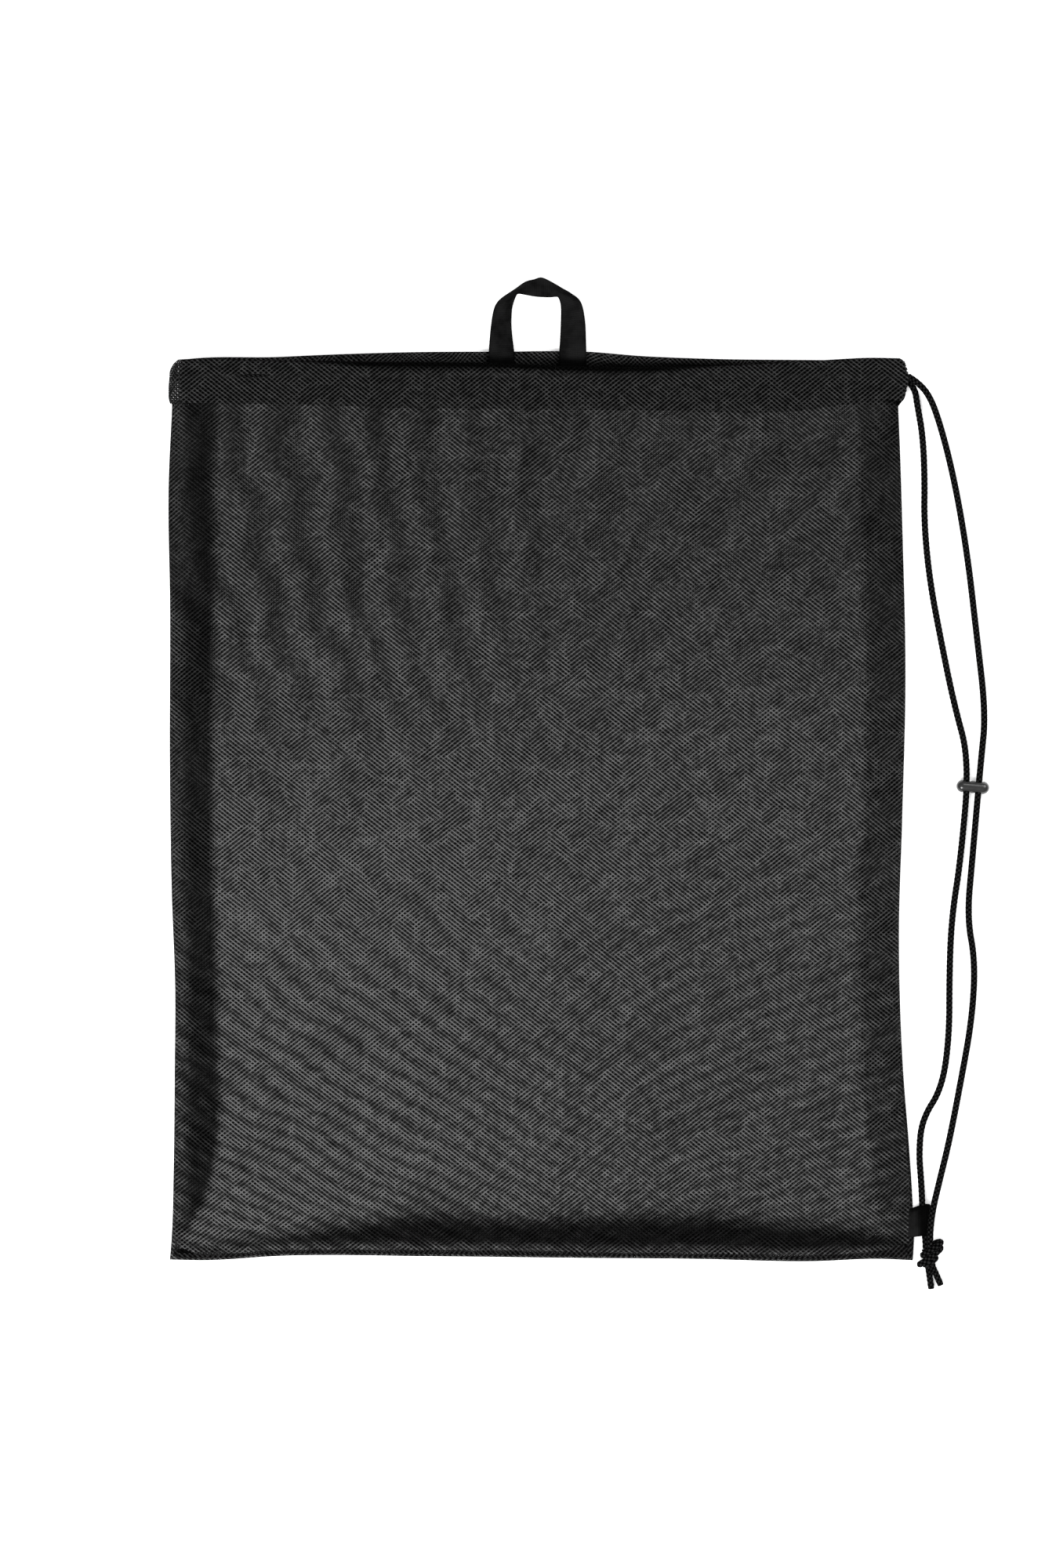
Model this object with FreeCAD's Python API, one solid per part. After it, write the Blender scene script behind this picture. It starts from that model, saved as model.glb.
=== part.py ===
import FreeCAD, Part
import math
import os

# Mesh laundry bag lying on its back: +X across, +Y towards the mouth, +Z up.
# The origin is on the surface, under the middle of the bag with its loop and tab.
# All values are millimetres and degrees.

V = FreeCAD.Vector

# Driving dimensions: fabric and cord
FABRIC = 0.8
THREAD = 0.4
WEBBING = 1.3
CORD = 4.0
CLEARANCE = 0.3

# Driving dimensions: outline of the bag
LEFT = -231.4
RIGHT = 215.5
RIGHT_FOOT = 222.0
FOOT_Y = -262.0
FLARE_Y = -170.0
BOTTOM = -299.7
SEAM_RIM = 10.0
SLOPE_RUN = 31.0
PUFF = 14.4

# Driving dimensions: drawcord casing, a flat tunnel along the mouth
CASING_HEIGHT = 28.0
CASING_DEPTH = 7.0
FRONT_HEM = 219.5
BACK_HEM = 226.5
TURN_HEIGHT = 24.0
CASING_GAP = 0.8
CASING_LEFT = -223.8
CASING_RIGHT = 216.3
ARCH_LEFT = (-190.0, -140.0)
ARCH_RIGHT = (125.0, 180.0)
ARCH_LOW = CASING_DEPTH + CASING_GAP
ARCH_HIGH = 13.6
CORD_Y = 238.5

# Driving dimensions: hanging loop of webbing
LOOP_HINGE_Y = 254.8
LOOP_TAIL_END = 253.8
LOOP_TAIL_START = 233.0
LOOP_LEFT_LEG = (-36.6, -21.2)
LOOP_RIGHT_LEG = (6.2, 22.7)
LOOP_TILT = -8.5
LOOP_OUTLINE = [
    (LOOP_LEFT_LEG[0], LOOP_HINGE_Y),
    (-36.0, 270.0),
    (-33.5, 281.0),
    (-25.5, 289.6),
    (-4.5, 300.0),
    (18.0, 287.0),
    (22.0, 274.0),
    (LOOP_RIGHT_LEG[1], LOOP_HINGE_Y),
    (LOOP_RIGHT_LEG[0], LOOP_HINGE_Y),
    (6.6, 283.0),
    (4.6, 288.2),
    (-19.0, 289.0),
    (-22.6, 279.0),
    (LOOP_LEFT_LEG[1], LOOP_HINGE_Y),
]
TACK_Y = (242.0, 245.0)
TACK_INSET = 2.0

# Driving dimensions: tab that holds the cord at the right side seam
TAB_Y = (-284.9, -267.2)
TAB_FOLD_X = 227.6
TAB_RADIUS = 3.8
TAB_STITCH_FROM_SEAM = (1.0, 1.6)
TAB_STITCH_INSET = 1.0
# How far a cutting shape runs past what it cuts
THROUGH = 1.0

# Driving dimensions: bead that slides on the two strands
BEAD_CENTRE = V(257.9, -10.6, 3.8)
BEAD_RADIUS = 3.8
BEAD_LENGTH = 20.0
BEAD_HOLE = 2.5
STRAND_SPACING = 7.0
BEAD_TURN = -5.0

# The strands run straight through the bead between these two distances from it,
# counted towards the bag's bottom.
STRAIGHT_FROM = -16.0
STRAIGHT_TO = 44.0

# Share of the shorter run that a bend of a free cord takes up on each side
BEND_SHARE = 0.45
CASING_BEND_SHARE = 0.17

os.makedirs("parts", exist_ok=True)


def save(name, shape):
    """Write one sub-part and say how large it is."""
    shape.exportStep("parts/" + name + ".step")
    box = shape.BoundBox
    print(
        f"{name:22s} solids {len(shape.Solids):2d} valid {shape.isValid()}"
        f" volume {shape.Volume:10.1f}"
        f" x {box.XMin:7.1f} {box.XMax:7.1f}"
        f" y {box.YMin:7.1f} {box.YMax:7.1f}"
        f" z {box.ZMin:5.2f} {box.ZMax:5.2f}"
    )


def block(low, high):
    """Box between two corners."""
    size = [high[i] - low[i] for i in range(3)]
    return Part.makeBox(*size, V(*low))


def flat_prism(outline, low, high):
    """Solid with a plan outline, between two heights."""
    corners = [V(x, y, low) for x, y in outline]
    return Part.Face(Part.makePolygon(corners + corners[:1])).extrude(V(0, 0, high - low))


def side_prism(outline, near, far):
    """Solid with an outline in the XZ plane, between two Y values."""
    corners = [V(x, near, z) for x, z in outline]
    return Part.Face(Part.makePolygon(corners + corners[:1])).extrude(V(0, far - near, 0))


def rectangle(x_range, y_range, height):
    """Corners of a rectangle at one height."""
    (x0, x1), (y0, y1) = x_range, y_range
    return [V(x0, y0, height), V(x1, y0, height), V(x1, y1, height), V(x0, y1, height)]


def hipped(foot, top):
    """Solid with flat sloping sides between two rectangles."""
    rings = [foot, top]
    for i in range(4):
        after = (i + 1) % 4
        rings.append([foot[i], foot[after], top[after], top[i]])
    faces = [Part.Face(Part.makePolygon(ring + ring[:1])) for ring in rings]
    return Part.Solid(Part.Shell(faces))


def bent_path(points, share):
    """Straight runs joined by tangent arcs, and the radius of each arc."""
    edges = []
    radii = []
    start = points[0]
    for before, corner, after in zip(points, points[1:], points[2:]):
        way_in = (corner - before).normalize()
        way_out = (after - corner).normalize()
        half = way_in.getAngle(way_out) / 2
        reach = share * min((corner - before).Length, (after - corner).Length)
        radius = reach / math.tan(half)
        arc_start = corner - way_in * reach
        arc_end = corner + way_out * reach
        inward = (way_out - way_in).normalize()
        middle = corner + inward * (radius / math.cos(half) - radius)
        edges.append(Part.LineSegment(start, arc_start).toShape())
        edges.append(Part.Arc(arc_start, middle, arc_end).toShape())
        radii.append(radius)
        start = arc_end
    edges.append(Part.LineSegment(start, points[-1]).toShape())
    return Part.Wire(edges), radii


def cord_tube(name, points, share):
    """Round cord along a bent path; prints its radii, length and volume check."""
    path, radii = bent_path(points, share)
    way_in = (points[1] - points[0]).normalize()
    ring = Part.Wire(Part.makeCircle(CORD / 2, points[0], way_in))
    tube = path.makePipeShell([ring], True, False)
    section = math.pi * (CORD / 2) ** 2
    print(
        f"{name}: length {path.Length:.1f} tightest {min(radii):.1f}"
        f" volume ratio {tube.Volume / (section * path.Length):.4f}"
    )
    print("   radii " + " ".join(f"{radius:.0f}" for radius in radii))
    return tube


# Panels --------------------------------------------------------------------

BACK_TOP = BACK_HEM + CASING_HEIGHT
RIM_LOW = FABRIC + CLEARANCE
RIM_HIGH = RIM_LOW + FABRIC
FOOT_X = (LEFT + SEAM_RIM, RIGHT - SEAM_RIM)
TOP_X = (FOOT_X[0] + SLOPE_RUN, FOOT_X[1] - SLOPE_RUN)
FOOT_LOW_Y = BOTTOM + SEAM_RIM
TOP_LOW_Y = FOOT_LOW_Y + SLOPE_RUN
SKIN_RUN = 2.1


def outline_up_to(top, foot):
    """Plan of the bag from its bottom seam to a height, with its right foot at a given X."""
    return [
        (LEFT, BOTTOM),
        (foot, BOTTOM),
        (foot, FOOT_Y),
        (RIGHT, FLARE_Y),
        (RIGHT, top),
        (LEFT, top),
    ]


def back_panel():
    """Rear mesh panel, flat on the surface."""
    return flat_prism(outline_up_to(BACK_HEM, RIGHT_FOOT), 0, FABRIC)


def front_panel():
    """Front mesh panel: a seam rim, and a raised skin with sloping sides."""
    outer = hipped(
        rectangle(FOOT_X, (FOOT_LOW_Y, FRONT_HEM), RIM_LOW),
        rectangle(TOP_X, (TOP_LOW_Y, FRONT_HEM), PUFF),
    )
    beyond = FRONT_HEM + FABRIC
    inner = hipped(
        rectangle(
            (FOOT_X[0] + SKIN_RUN, FOOT_X[1] - SKIN_RUN),
            (FOOT_LOW_Y + SKIN_RUN, beyond),
            RIM_LOW,
        ),
        rectangle(TOP_X, (TOP_LOW_Y, beyond), PUFF - FABRIC),
    )
    outline = outline_up_to(FRONT_HEM, RIGHT_FOOT - CLEARANCE)
    rim = flat_prism(outline, RIM_LOW, RIM_HIGH)
    return rim.fuse(outer).cut(inner).removeSplitter()


# Drawcord casing ------------------------------------------------------------


def arch_line(shift, left, right):
    """XZ line of the front casing's underside, moved up by a shift."""
    under = [
        (left, ARCH_LOW),
        (ARCH_LEFT[0], ARCH_LOW),
        (ARCH_LEFT[1], ARCH_HIGH),
        (ARCH_RIGHT[0], ARCH_HIGH),
        (ARCH_RIGHT[1], ARCH_LOW),
        (right, ARCH_LOW),
    ]
    return [(x, z + shift) for x, z in under]


def arch(low_shift, high_shift, left, right):
    """XZ outline of the front casing between two shifts of its underside."""
    return arch_line(low_shift, left, right) + arch_line(high_shift, left, right)[::-1]


def front_casing():
    """Folded hem of the front panel, an arched tunnel open at both ends."""
    left = CASING_LEFT + CLEARANCE
    outer = side_prism(
        arch(0, CASING_DEPTH, left, CASING_RIGHT), FRONT_HEM, FRONT_HEM + CASING_HEIGHT
    )
    tunnel = side_prism(
        arch(FABRIC, CASING_DEPTH - FABRIC, left, CASING_RIGHT),
        FRONT_HEM + FABRIC,
        FRONT_HEM + CASING_HEIGHT - FABRIC,
    )
    return outer.cut(tunnel)


def back_casing():
    """Folded hem of the back panel, a straight tunnel open at both ends."""
    outer = block((CASING_LEFT, BACK_HEM, 0), (CASING_RIGHT, BACK_TOP, CASING_DEPTH))
    tunnel = block(
        (CASING_LEFT, BACK_HEM + FABRIC, FABRIC),
        (CASING_RIGHT, BACK_TOP - FABRIC, CASING_DEPTH - FABRIC),
    )
    return outer.cut(tunnel)


TURN_Z = CASING_DEPTH + CASING_GAP / 2
TURN_RADIUS = TURN_Z


def half_round(radius, near, far):
    """Left half of a cylinder about the casing's fold."""
    cylinder = Part.makeCylinder(radius, far - near, V(CASING_LEFT, near, TURN_Z), V(0, 1, 0))
    keep = block(
        (CASING_LEFT - radius, near, TURN_Z - radius), (CASING_LEFT, far, TURN_Z + radius)
    )
    return cylinder.common(keep)


def casing_turn():
    """Casing where it goes round the left side seam from back to front."""
    far = BACK_HEM + TURN_HEIGHT
    outer = half_round(TURN_RADIUS, BACK_HEM, far)
    return outer.cut(half_round(TURN_RADIUS - FABRIC, BACK_HEM + FABRIC, far - FABRIC))


# Seam allowances and sewing threads ------------------------------------------

ALLOWANCE_HIGH = FABRIC * 2
LEFT_ALLOWANCE = (-216.0, -203.5)
RIGHT_ALLOWANCE = (191.0, 200.5)
BOTTOM_ALLOWANCE = (-284.3, -277.0)
SIDE_ALLOWANCE_Y = (-272.0, 216.0)
BOTTOM_ALLOWANCE_X = (-198.0, 186.0)
OVERLOCK = 1.6


def inner_strip(x_range, y_range):
    """Seam allowance lying on the back panel inside the bag."""
    return block((x_range[0], y_range[0], FABRIC), (x_range[1], y_range[1], ALLOWANCE_HIGH))


def edge_thread(x_range, y_range):
    """Overlock thread on a seam allowance."""
    return block(
        (x_range[0], y_range[0], ALLOWANCE_HIGH),
        (x_range[1], y_range[1], ALLOWANCE_HIGH + THREAD),
    )


STITCH_INSET = 1.5


def front_hem_thread():
    """Stitching along the lower edge of the front casing."""
    near = FRONT_HEM + STITCH_INSET
    ends = (CASING_LEFT + SEAM_RIM, CASING_RIGHT - SEAM_RIM)
    return side_prism(
        arch(CASING_DEPTH, CASING_DEPTH + THREAD, *ends), near, near + THREAD
    )


def back_hem_thread():
    """Stitching along the lower edge of the back casing, on its inner face."""
    near = BACK_HEM + STITCH_INSET
    return block(
        (CASING_LEFT + SEAM_RIM, near, CASING_DEPTH),
        (CASING_RIGHT - SEAM_RIM, near + THREAD, CASING_DEPTH + THREAD),
    )


# Hanging loop -----------------------------------------------------------------


def hanging_loop():
    """Free part of the webbing loop, folded flat at its two upper corners."""
    low = CASING_DEPTH
    loop = flat_prism(LOOP_OUTLINE, low, low + WEBBING)
    hinge = V(0, LOOP_HINGE_Y, low + WEBBING / 2)
    return loop.rotate(hinge, V(1, 0, 0), LOOP_TILT)


def loop_tail(x_range):
    """Sewn end of the loop on the inner face of the back casing."""
    return block(
        (x_range[0], LOOP_TAIL_START, CASING_DEPTH),
        (x_range[1], LOOP_TAIL_END, CASING_DEPTH + WEBBING),
    )


def loop_tacks():
    """Dense rows of thread across the two tails."""
    low = CASING_DEPTH + WEBBING
    tacks = [
        block((left + TACK_INSET, TACK_Y[0], low), (right - TACK_INSET, TACK_Y[1], low + THREAD))
        for left, right in (LOOP_LEFT_LEG, LOOP_RIGHT_LEG)
    ]
    return Part.makeCompound(tacks)


# Tab ----------------------------------------------------------------------------


def tab_section(radius, near, far):
    """Straight part and rounded fold of the tab, filled to a radius."""
    straight = block(
        (RIGHT_FOOT, near, TAB_RADIUS - radius), (TAB_FOLD_X, far, TAB_RADIUS + radius)
    )
    centre = V(TAB_FOLD_X, near, TAB_RADIUS)
    return straight.fuse(Part.makeCylinder(radius, far - near, centre, V(0, 1, 0)))


def cord_tab():
    """Short webbing folded round one strand, its ends held in the side seam."""
    near, far = TAB_Y
    outer = tab_section(TAB_RADIUS, near, far)
    inner = tab_section(TAB_RADIUS - WEBBING, near - THROUGH, far + THROUGH)
    return outer.cut(inner).removeSplitter()


def tab_stitch():
    """Row of thread across the tab beside the seam."""
    high = 2 * TAB_RADIUS
    left, right = (RIGHT_FOOT + distance for distance in TAB_STITCH_FROM_SEAM)
    near, far = TAB_Y
    return block(
        (left, near + TAB_STITCH_INSET, high), (right, far - TAB_STITCH_INSET, high + THREAD)
    )


# Bead and strands -----------------------------------------------------------------

ACROSS = V(math.cos(math.radians(BEAD_TURN)), math.sin(math.radians(BEAD_TURN)), 0)
DOWN = V(ACROSS.y, -ACROSS.x, 0)


def beside_bead(side, distance):
    """Point on a strand, a given distance from the bead towards the bottom."""
    return BEAD_CENTRE + ACROSS * (side * STRAND_SPACING / 2) + DOWN * distance


def cord_stopper():
    """Round-ended bead with a hole for each strand."""
    half = BEAD_LENGTH / 2 - BEAD_RADIUS
    up = V(0, 0, BEAD_RADIUS)
    slant = math.sqrt(0.5)
    ends = []
    for way in (-1, 1):
        end = BEAD_CENTRE + ACROSS * (way * half)
        shoulder = end + up
        tip = end + ACROSS * (way * BEAD_RADIUS)
        between = end + (up + ACROSS * (way * BEAD_RADIUS)) * slant
        ends.append((shoulder, between, tip))
    (left_shoulder, left_between, left_tip), (shoulder, between, tip) = ends
    profile = Part.Wire(
        [
            Part.Arc(left_tip, left_between, left_shoulder).toShape(),
            Part.LineSegment(left_shoulder, shoulder).toShape(),
            Part.Arc(shoulder, between, tip).toShape(),
            Part.LineSegment(tip, left_tip).toShape(),
        ]
    )
    body = Part.Face(profile).revolve(BEAD_CENTRE, ACROSS, 360)
    reach = 2 * BEAD_RADIUS
    for side in (-1, 1):
        start = beside_bead(side, -reach)
        body = body.cut(Part.makeCylinder(BEAD_HOLE, 2 * reach, start, DOWN))
    return body


LEFT_STRAND = [
    V(216.3, 238.5, 3.5),
    V(222.4, 233.6, 3.2),
    V(224.4, 221.5, 2.2),
    V(227.6, 203.5, 2.1),
    V(228.8, 178.0, 2.1),
    V(228.4, 150.0, 2.1),
    V(231.8, 115.0, 2.1),
    V(239.0, 77.0, 2.1),
    V(246.6, 40.0, 2.2),
    beside_bead(-1, STRAIGHT_FROM),
    beside_bead(-1, STRAIGHT_TO),
    V(245.2, -90.0, 2.1),
    V(243.8, -124.0, 2.1),
    V(243.8, -162.0, 2.1),
    V(239.4, -194.0, 2.1),
    V(227.2, -213.0, 2.1),
    V(225.2, -233.0, 2.1),
    V(226.7, -252.0, 2.6),
    V(227.2, -267.0, 3.8),
    V(227.5, -284.5, 3.8),
    V(228.4, -291.6, 4.4),
]
RIGHT_STRAND = [
    V(218.3, 238.2, 10.8),
    V(224.4, 234.8, 9.6),
    V(231.6, 226.6, 6.2),
    V(237.2, 213.0, 2.8),
    V(243.4, 191.0, 2.1),
    V(249.6, 162.0, 2.1),
    V(255.4, 126.0, 2.1),
    V(260.2, 84.0, 2.1),
    V(266.0, 34.0, 2.2),
    beside_bead(1, STRAIGHT_FROM),
    beside_bead(1, STRAIGHT_TO),
    V(254.6, -90.0, 2.1),
    V(259.6, -117.0, 2.1),
    V(257.6, -152.0, 2.1),
    V(250.8, -190.0, 2.1),
    V(243.6, -227.0, 2.3),
    V(237.8, -250.0, 5.0),
    V(233.6, -267.0, 9.0),
    V(232.4, -283.0, 9.3),
    V(233.4, -290.6, 8.6),
]

KNOT_LUMPS = [
    (V(231.2, -295.6, 6.3), 6.3),
    (V(236.4, -292.4, 5.0), 4.5),
    (V(227.2, -299.6, 5.0), 4.5),
]
KNOT_TAILS = [
    (V(231.4, -301.0, 4.4), V(233.2, -316.4, 2.1)),
    (V(232.4, -301.0, 4.4), V(240.0, -314.0, 2.1)),
]


def cord_knot():
    """Overhand knot in both strands, with two short tails."""
    knot = None
    for centre, radius in KNOT_LUMPS:
        lump = Part.makeSphere(radius, centre)
        knot = lump if knot is None else knot.fuse(lump)
    for start, end in KNOT_TAILS:
        way = end - start
        knot = knot.fuse(Part.makeCylinder(CORD / 2, way.Length, start, way))
    return knot.removeSplitter()


def casing_cords():
    """Cord inside the casing: back run, turn at the left fold and front run."""
    inside = CASING_DEPTH / 2
    start = V(CASING_LEFT, CORD_Y, inside)
    back = Part.makeCylinder(CORD / 2, CASING_RIGHT - CASING_LEFT, start, V(1, 0, 0))
    ring = Part.Face(Part.Wire(Part.makeCircle(CORD / 2, start, V(1, 0, 0))))
    turn = ring.revolve(V(CASING_LEFT, CORD_Y, TURN_Z), V(0, 1, 0), 180)
    front_line = arch_line(inside, CASING_LEFT + CLEARANCE, CASING_RIGHT)
    front_points = [V(x, CORD_Y, z) for x, z in front_line]
    front = cord_tube("drawcord_front_run", front_points, CASING_BEND_SHARE)
    return back, turn, front


# Writing the sub-parts --------------------------------------------------------------

back_run, cord_turn, front_run = casing_cords()
save("back_panel", back_panel())
save("front_panel", front_panel())
save("back_casing", back_casing())
save("front_casing", front_casing())
save("casing_turn", casing_turn())
save("left_seam_allowance", inner_strip(LEFT_ALLOWANCE, SIDE_ALLOWANCE_Y))
save("right_seam_allowance", inner_strip(RIGHT_ALLOWANCE, SIDE_ALLOWANCE_Y))
save("bottom_seam_allowance", inner_strip(BOTTOM_ALLOWANCE_X, BOTTOM_ALLOWANCE))
save(
    "left_seam_thread",
    edge_thread((LEFT_ALLOWANCE[1] - OVERLOCK, LEFT_ALLOWANCE[1]), SIDE_ALLOWANCE_Y),
)
save(
    "right_seam_thread",
    edge_thread((RIGHT_ALLOWANCE[0], RIGHT_ALLOWANCE[0] + OVERLOCK), SIDE_ALLOWANCE_Y),
)
save(
    "bottom_seam_thread",
    edge_thread(BOTTOM_ALLOWANCE_X, (BOTTOM_ALLOWANCE[1] - OVERLOCK, BOTTOM_ALLOWANCE[1])),
)
save("front_hem_thread", front_hem_thread())
save("back_hem_thread", back_hem_thread())
save("hanging_loop", hanging_loop())
save("loop_left_tail", loop_tail(LOOP_LEFT_LEG))
save("loop_right_tail", loop_tail(LOOP_RIGHT_LEG))
save("loop_tacks", loop_tacks())
save("cord_tab", cord_tab())
save("tab_stitch", tab_stitch())
save("drawcord_back_run", back_run)
save("drawcord_turn", cord_turn)
save("drawcord_front_run", front_run)
save("drawcord_left_strand", cord_tube("drawcord_left_strand", LEFT_STRAND, BEND_SHARE))
save("drawcord_right_strand", cord_tube("drawcord_right_strand", RIGHT_STRAND, BEND_SHARE))
save("cord_knot", cord_knot())
save("cord_stopper", cord_stopper())
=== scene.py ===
import bmesh
import bpy
import math
import numpy as np
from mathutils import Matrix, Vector


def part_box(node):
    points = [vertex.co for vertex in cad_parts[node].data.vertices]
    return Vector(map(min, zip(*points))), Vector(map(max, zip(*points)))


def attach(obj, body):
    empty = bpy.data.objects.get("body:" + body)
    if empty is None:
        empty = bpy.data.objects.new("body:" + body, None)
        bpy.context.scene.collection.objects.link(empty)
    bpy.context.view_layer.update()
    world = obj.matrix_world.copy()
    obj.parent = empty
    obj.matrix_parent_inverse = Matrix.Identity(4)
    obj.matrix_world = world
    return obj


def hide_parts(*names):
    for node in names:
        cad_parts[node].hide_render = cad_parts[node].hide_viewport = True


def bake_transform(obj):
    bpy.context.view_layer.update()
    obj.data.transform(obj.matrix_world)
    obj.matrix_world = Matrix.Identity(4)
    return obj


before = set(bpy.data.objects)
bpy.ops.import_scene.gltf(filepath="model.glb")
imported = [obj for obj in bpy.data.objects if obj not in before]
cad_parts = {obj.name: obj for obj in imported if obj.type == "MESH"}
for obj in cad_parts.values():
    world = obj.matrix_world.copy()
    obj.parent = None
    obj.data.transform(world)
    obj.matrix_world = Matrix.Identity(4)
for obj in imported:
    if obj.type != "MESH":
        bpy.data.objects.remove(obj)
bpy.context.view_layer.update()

MM = 0.001
TAU = 2 * math.pi

# ---------------- places from the CAD model


def corners(node):
    """Lowest and highest corner of a CAD node, in millimetres."""
    return [np.round(np.array(corner) / MM, 1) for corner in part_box(node)]


def measured_from(base, table):
    """Table of (place, size) pairs whose sizes are given from base."""
    return [(place, base + size) for place, size in table]


LEFT, BOTTOM = corners("back_panel")[0][:2]
RIGHT = corners("back_panel")[1][0]
FRONT_PANEL_TOP = corners("front_panel")[1][1]
FRONT_CASING_TOP = corners("front_casing")[1][1]
FRONT_CASING_FLOOR = corners("front_casing")[0][2]
BACK_CASING_TOP = corners("back_casing")[1][1]
TURN_X = corners("back_casing")[0][0]
CASING_RIGHT, _, CASING_DEPTH = corners("back_casing")[1]
CORD_Y = np.mean(corners("drawcord_back_run"), axis=0)[1]
BEAD = np.mean(corners("cord_stopper"), axis=0)
TAB_LOW = corners("cord_tab")[0][1]
LOOP_CORNER = corners("loop_left_tail")[0][:2]

# ---------------- camera

# Middle and height of what the camera sees on the surface
VIEW_CENTRE = (-16.2 * MM, -8.8 * MM)
VIEW_HEIGHT = 956 * MM
LENS = 85
SENSOR = 36


def add_camera():
    """Camera straight above the bag, which lies on its back."""
    data = bpy.data.cameras.new("camera")
    data.lens = LENS
    data.sensor_width = SENSOR
    camera = bpy.data.objects.new("camera", data)
    camera.location = (*VIEW_CENTRE, VIEW_HEIGHT * LENS / SENSOR)
    bpy.context.collection.objects.link(camera)
    bpy.context.scene.camera = camera


add_camera()

# ---------------- mesh helpers


def add_object(name, vertices, faces, smooth=True):
    """Mesh object from plain lists, in metres."""
    mesh = bpy.data.meshes.new(name)
    mesh.from_pydata([tuple(v) for v in vertices], [], [tuple(f) for f in faces])
    mesh.update()
    if smooth:
        mesh.polygons.foreach_set("use_smooth", [True] * len(mesh.polygons))
    thing = bpy.data.objects.new(name, mesh)
    bpy.context.collection.objects.link(thing)
    return thing


def grid_faces(rows, columns, wrap=False):
    """Quads of a grid of points stored row by row; wrap joins each row's two ends."""
    faces = []
    for i in range(rows - 1):
        for j in range(columns if wrap else columns - 1):
            k = (j + 1) % columns
            faces.append((i * columns + j, i * columns + k, (i + 1) * columns + k, (i + 1) * columns + j))
    return faces


def capped_faces(rows, sides):
    """Faces of a tube of rings, closed at both ends."""
    faces = grid_faces(rows, sides, wrap=True)
    faces.append(tuple(reversed(range(sides))))
    faces.append(tuple((rows - 1) * sides + i for i in range(sides)))
    return faces


def set_uv(thing, uv):
    """UV per vertex, given in millimetres of cloth."""
    layer = thing.data.uv_layers.new(name="Cloth")
    loops = np.empty(len(thing.data.loops), dtype=np.int32)
    thing.data.loops.foreach_get("vertex_index", loops)
    layer.data.foreach_set("uv", np.asarray(uv, dtype=np.float32)[loops].ravel())


def set_value(thing, name, values):
    """One number per vertex, for a material to read."""
    attribute = thing.data.attributes.new(name, "FLOAT", "POINT")
    attribute.data.foreach_set("value", np.asarray(values, dtype=np.float32))


def cloth_grid(name, points, uv, shade, opening):
    """Sheet from an array of points, rows by columns by three, in millimetres.

    shade scales how light the yarn is painted and carries painted light and shade, and opening
    widens the holes, or closes them where it is below 0.
    """
    shape = points.shape[:2]
    thing = add_object(name, points.reshape(-1, 3) * MM, grid_faces(*shape))
    set_uv(thing, uv.reshape(-1, 2))
    set_value(thing, "shade", np.broadcast_to(shade, shape).ravel())
    set_value(thing, "opening", np.broadcast_to(opening, shape).ravel())
    return thing


def smoothstep(low, high, value):
    """0 below low, 1 above high, smooth between."""
    t = np.clip((value - low) / (high - low), 0, 1)
    return t * t * (3 - 2 * t)


def along(table, value):
    """Smooth curve through a short table of (place, size) pairs."""
    places, sizes = np.array(table, dtype=float).T
    slopes = np.gradient(sizes, places)
    value = np.clip(value, places[0], places[-1])
    i = np.clip(np.searchsorted(places, value) - 1, 0, len(places) - 2)
    span = places[i + 1] - places[i]
    t = (value - places[i]) / span
    return (
        (2 * t**3 - 3 * t**2 + 1) * sizes[i]
        + (t**3 - 2 * t**2 + t) * span * slopes[i]
        + (3 * t**2 - 2 * t**3) * sizes[i + 1]
        + (t**3 - t**2) * span * slopes[i + 1]
    )


def ripple(x, y, size, seed):
    """Smooth wandering field of about unit height; size is its typical width."""
    rng = np.random.default_rng(seed)
    total = 0
    for _ in range(7):
        angle = rng.uniform(0, TAU)
        wave = rng.uniform(0.6, 1.6) / size
        phase = rng.uniform(0, TAU)
        total = total + np.sin(TAU * wave * (x * math.cos(angle) + y * math.sin(angle)) + phase)
    return total / 3


# ---------------- cords

BEAD_TURN = math.radians(-5)
ACROSS = np.array([math.cos(BEAD_TURN), math.sin(BEAD_TURN), 0])
DOWN = np.array([ACROSS[1], -ACROSS[0], 0])
STRAND_SPACING = 7.0
# Straight stretch of both strands through the bead
STRAIGHT_FROM = -16.0
STRAIGHT_TO = 44.0


def beside_bead(side, distance):
    """Point on a strand, a given distance from the bead towards the bottom."""
    return tuple(BEAD + ACROSS * (side * STRAND_SPACING / 2) + DOWN * distance)


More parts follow.
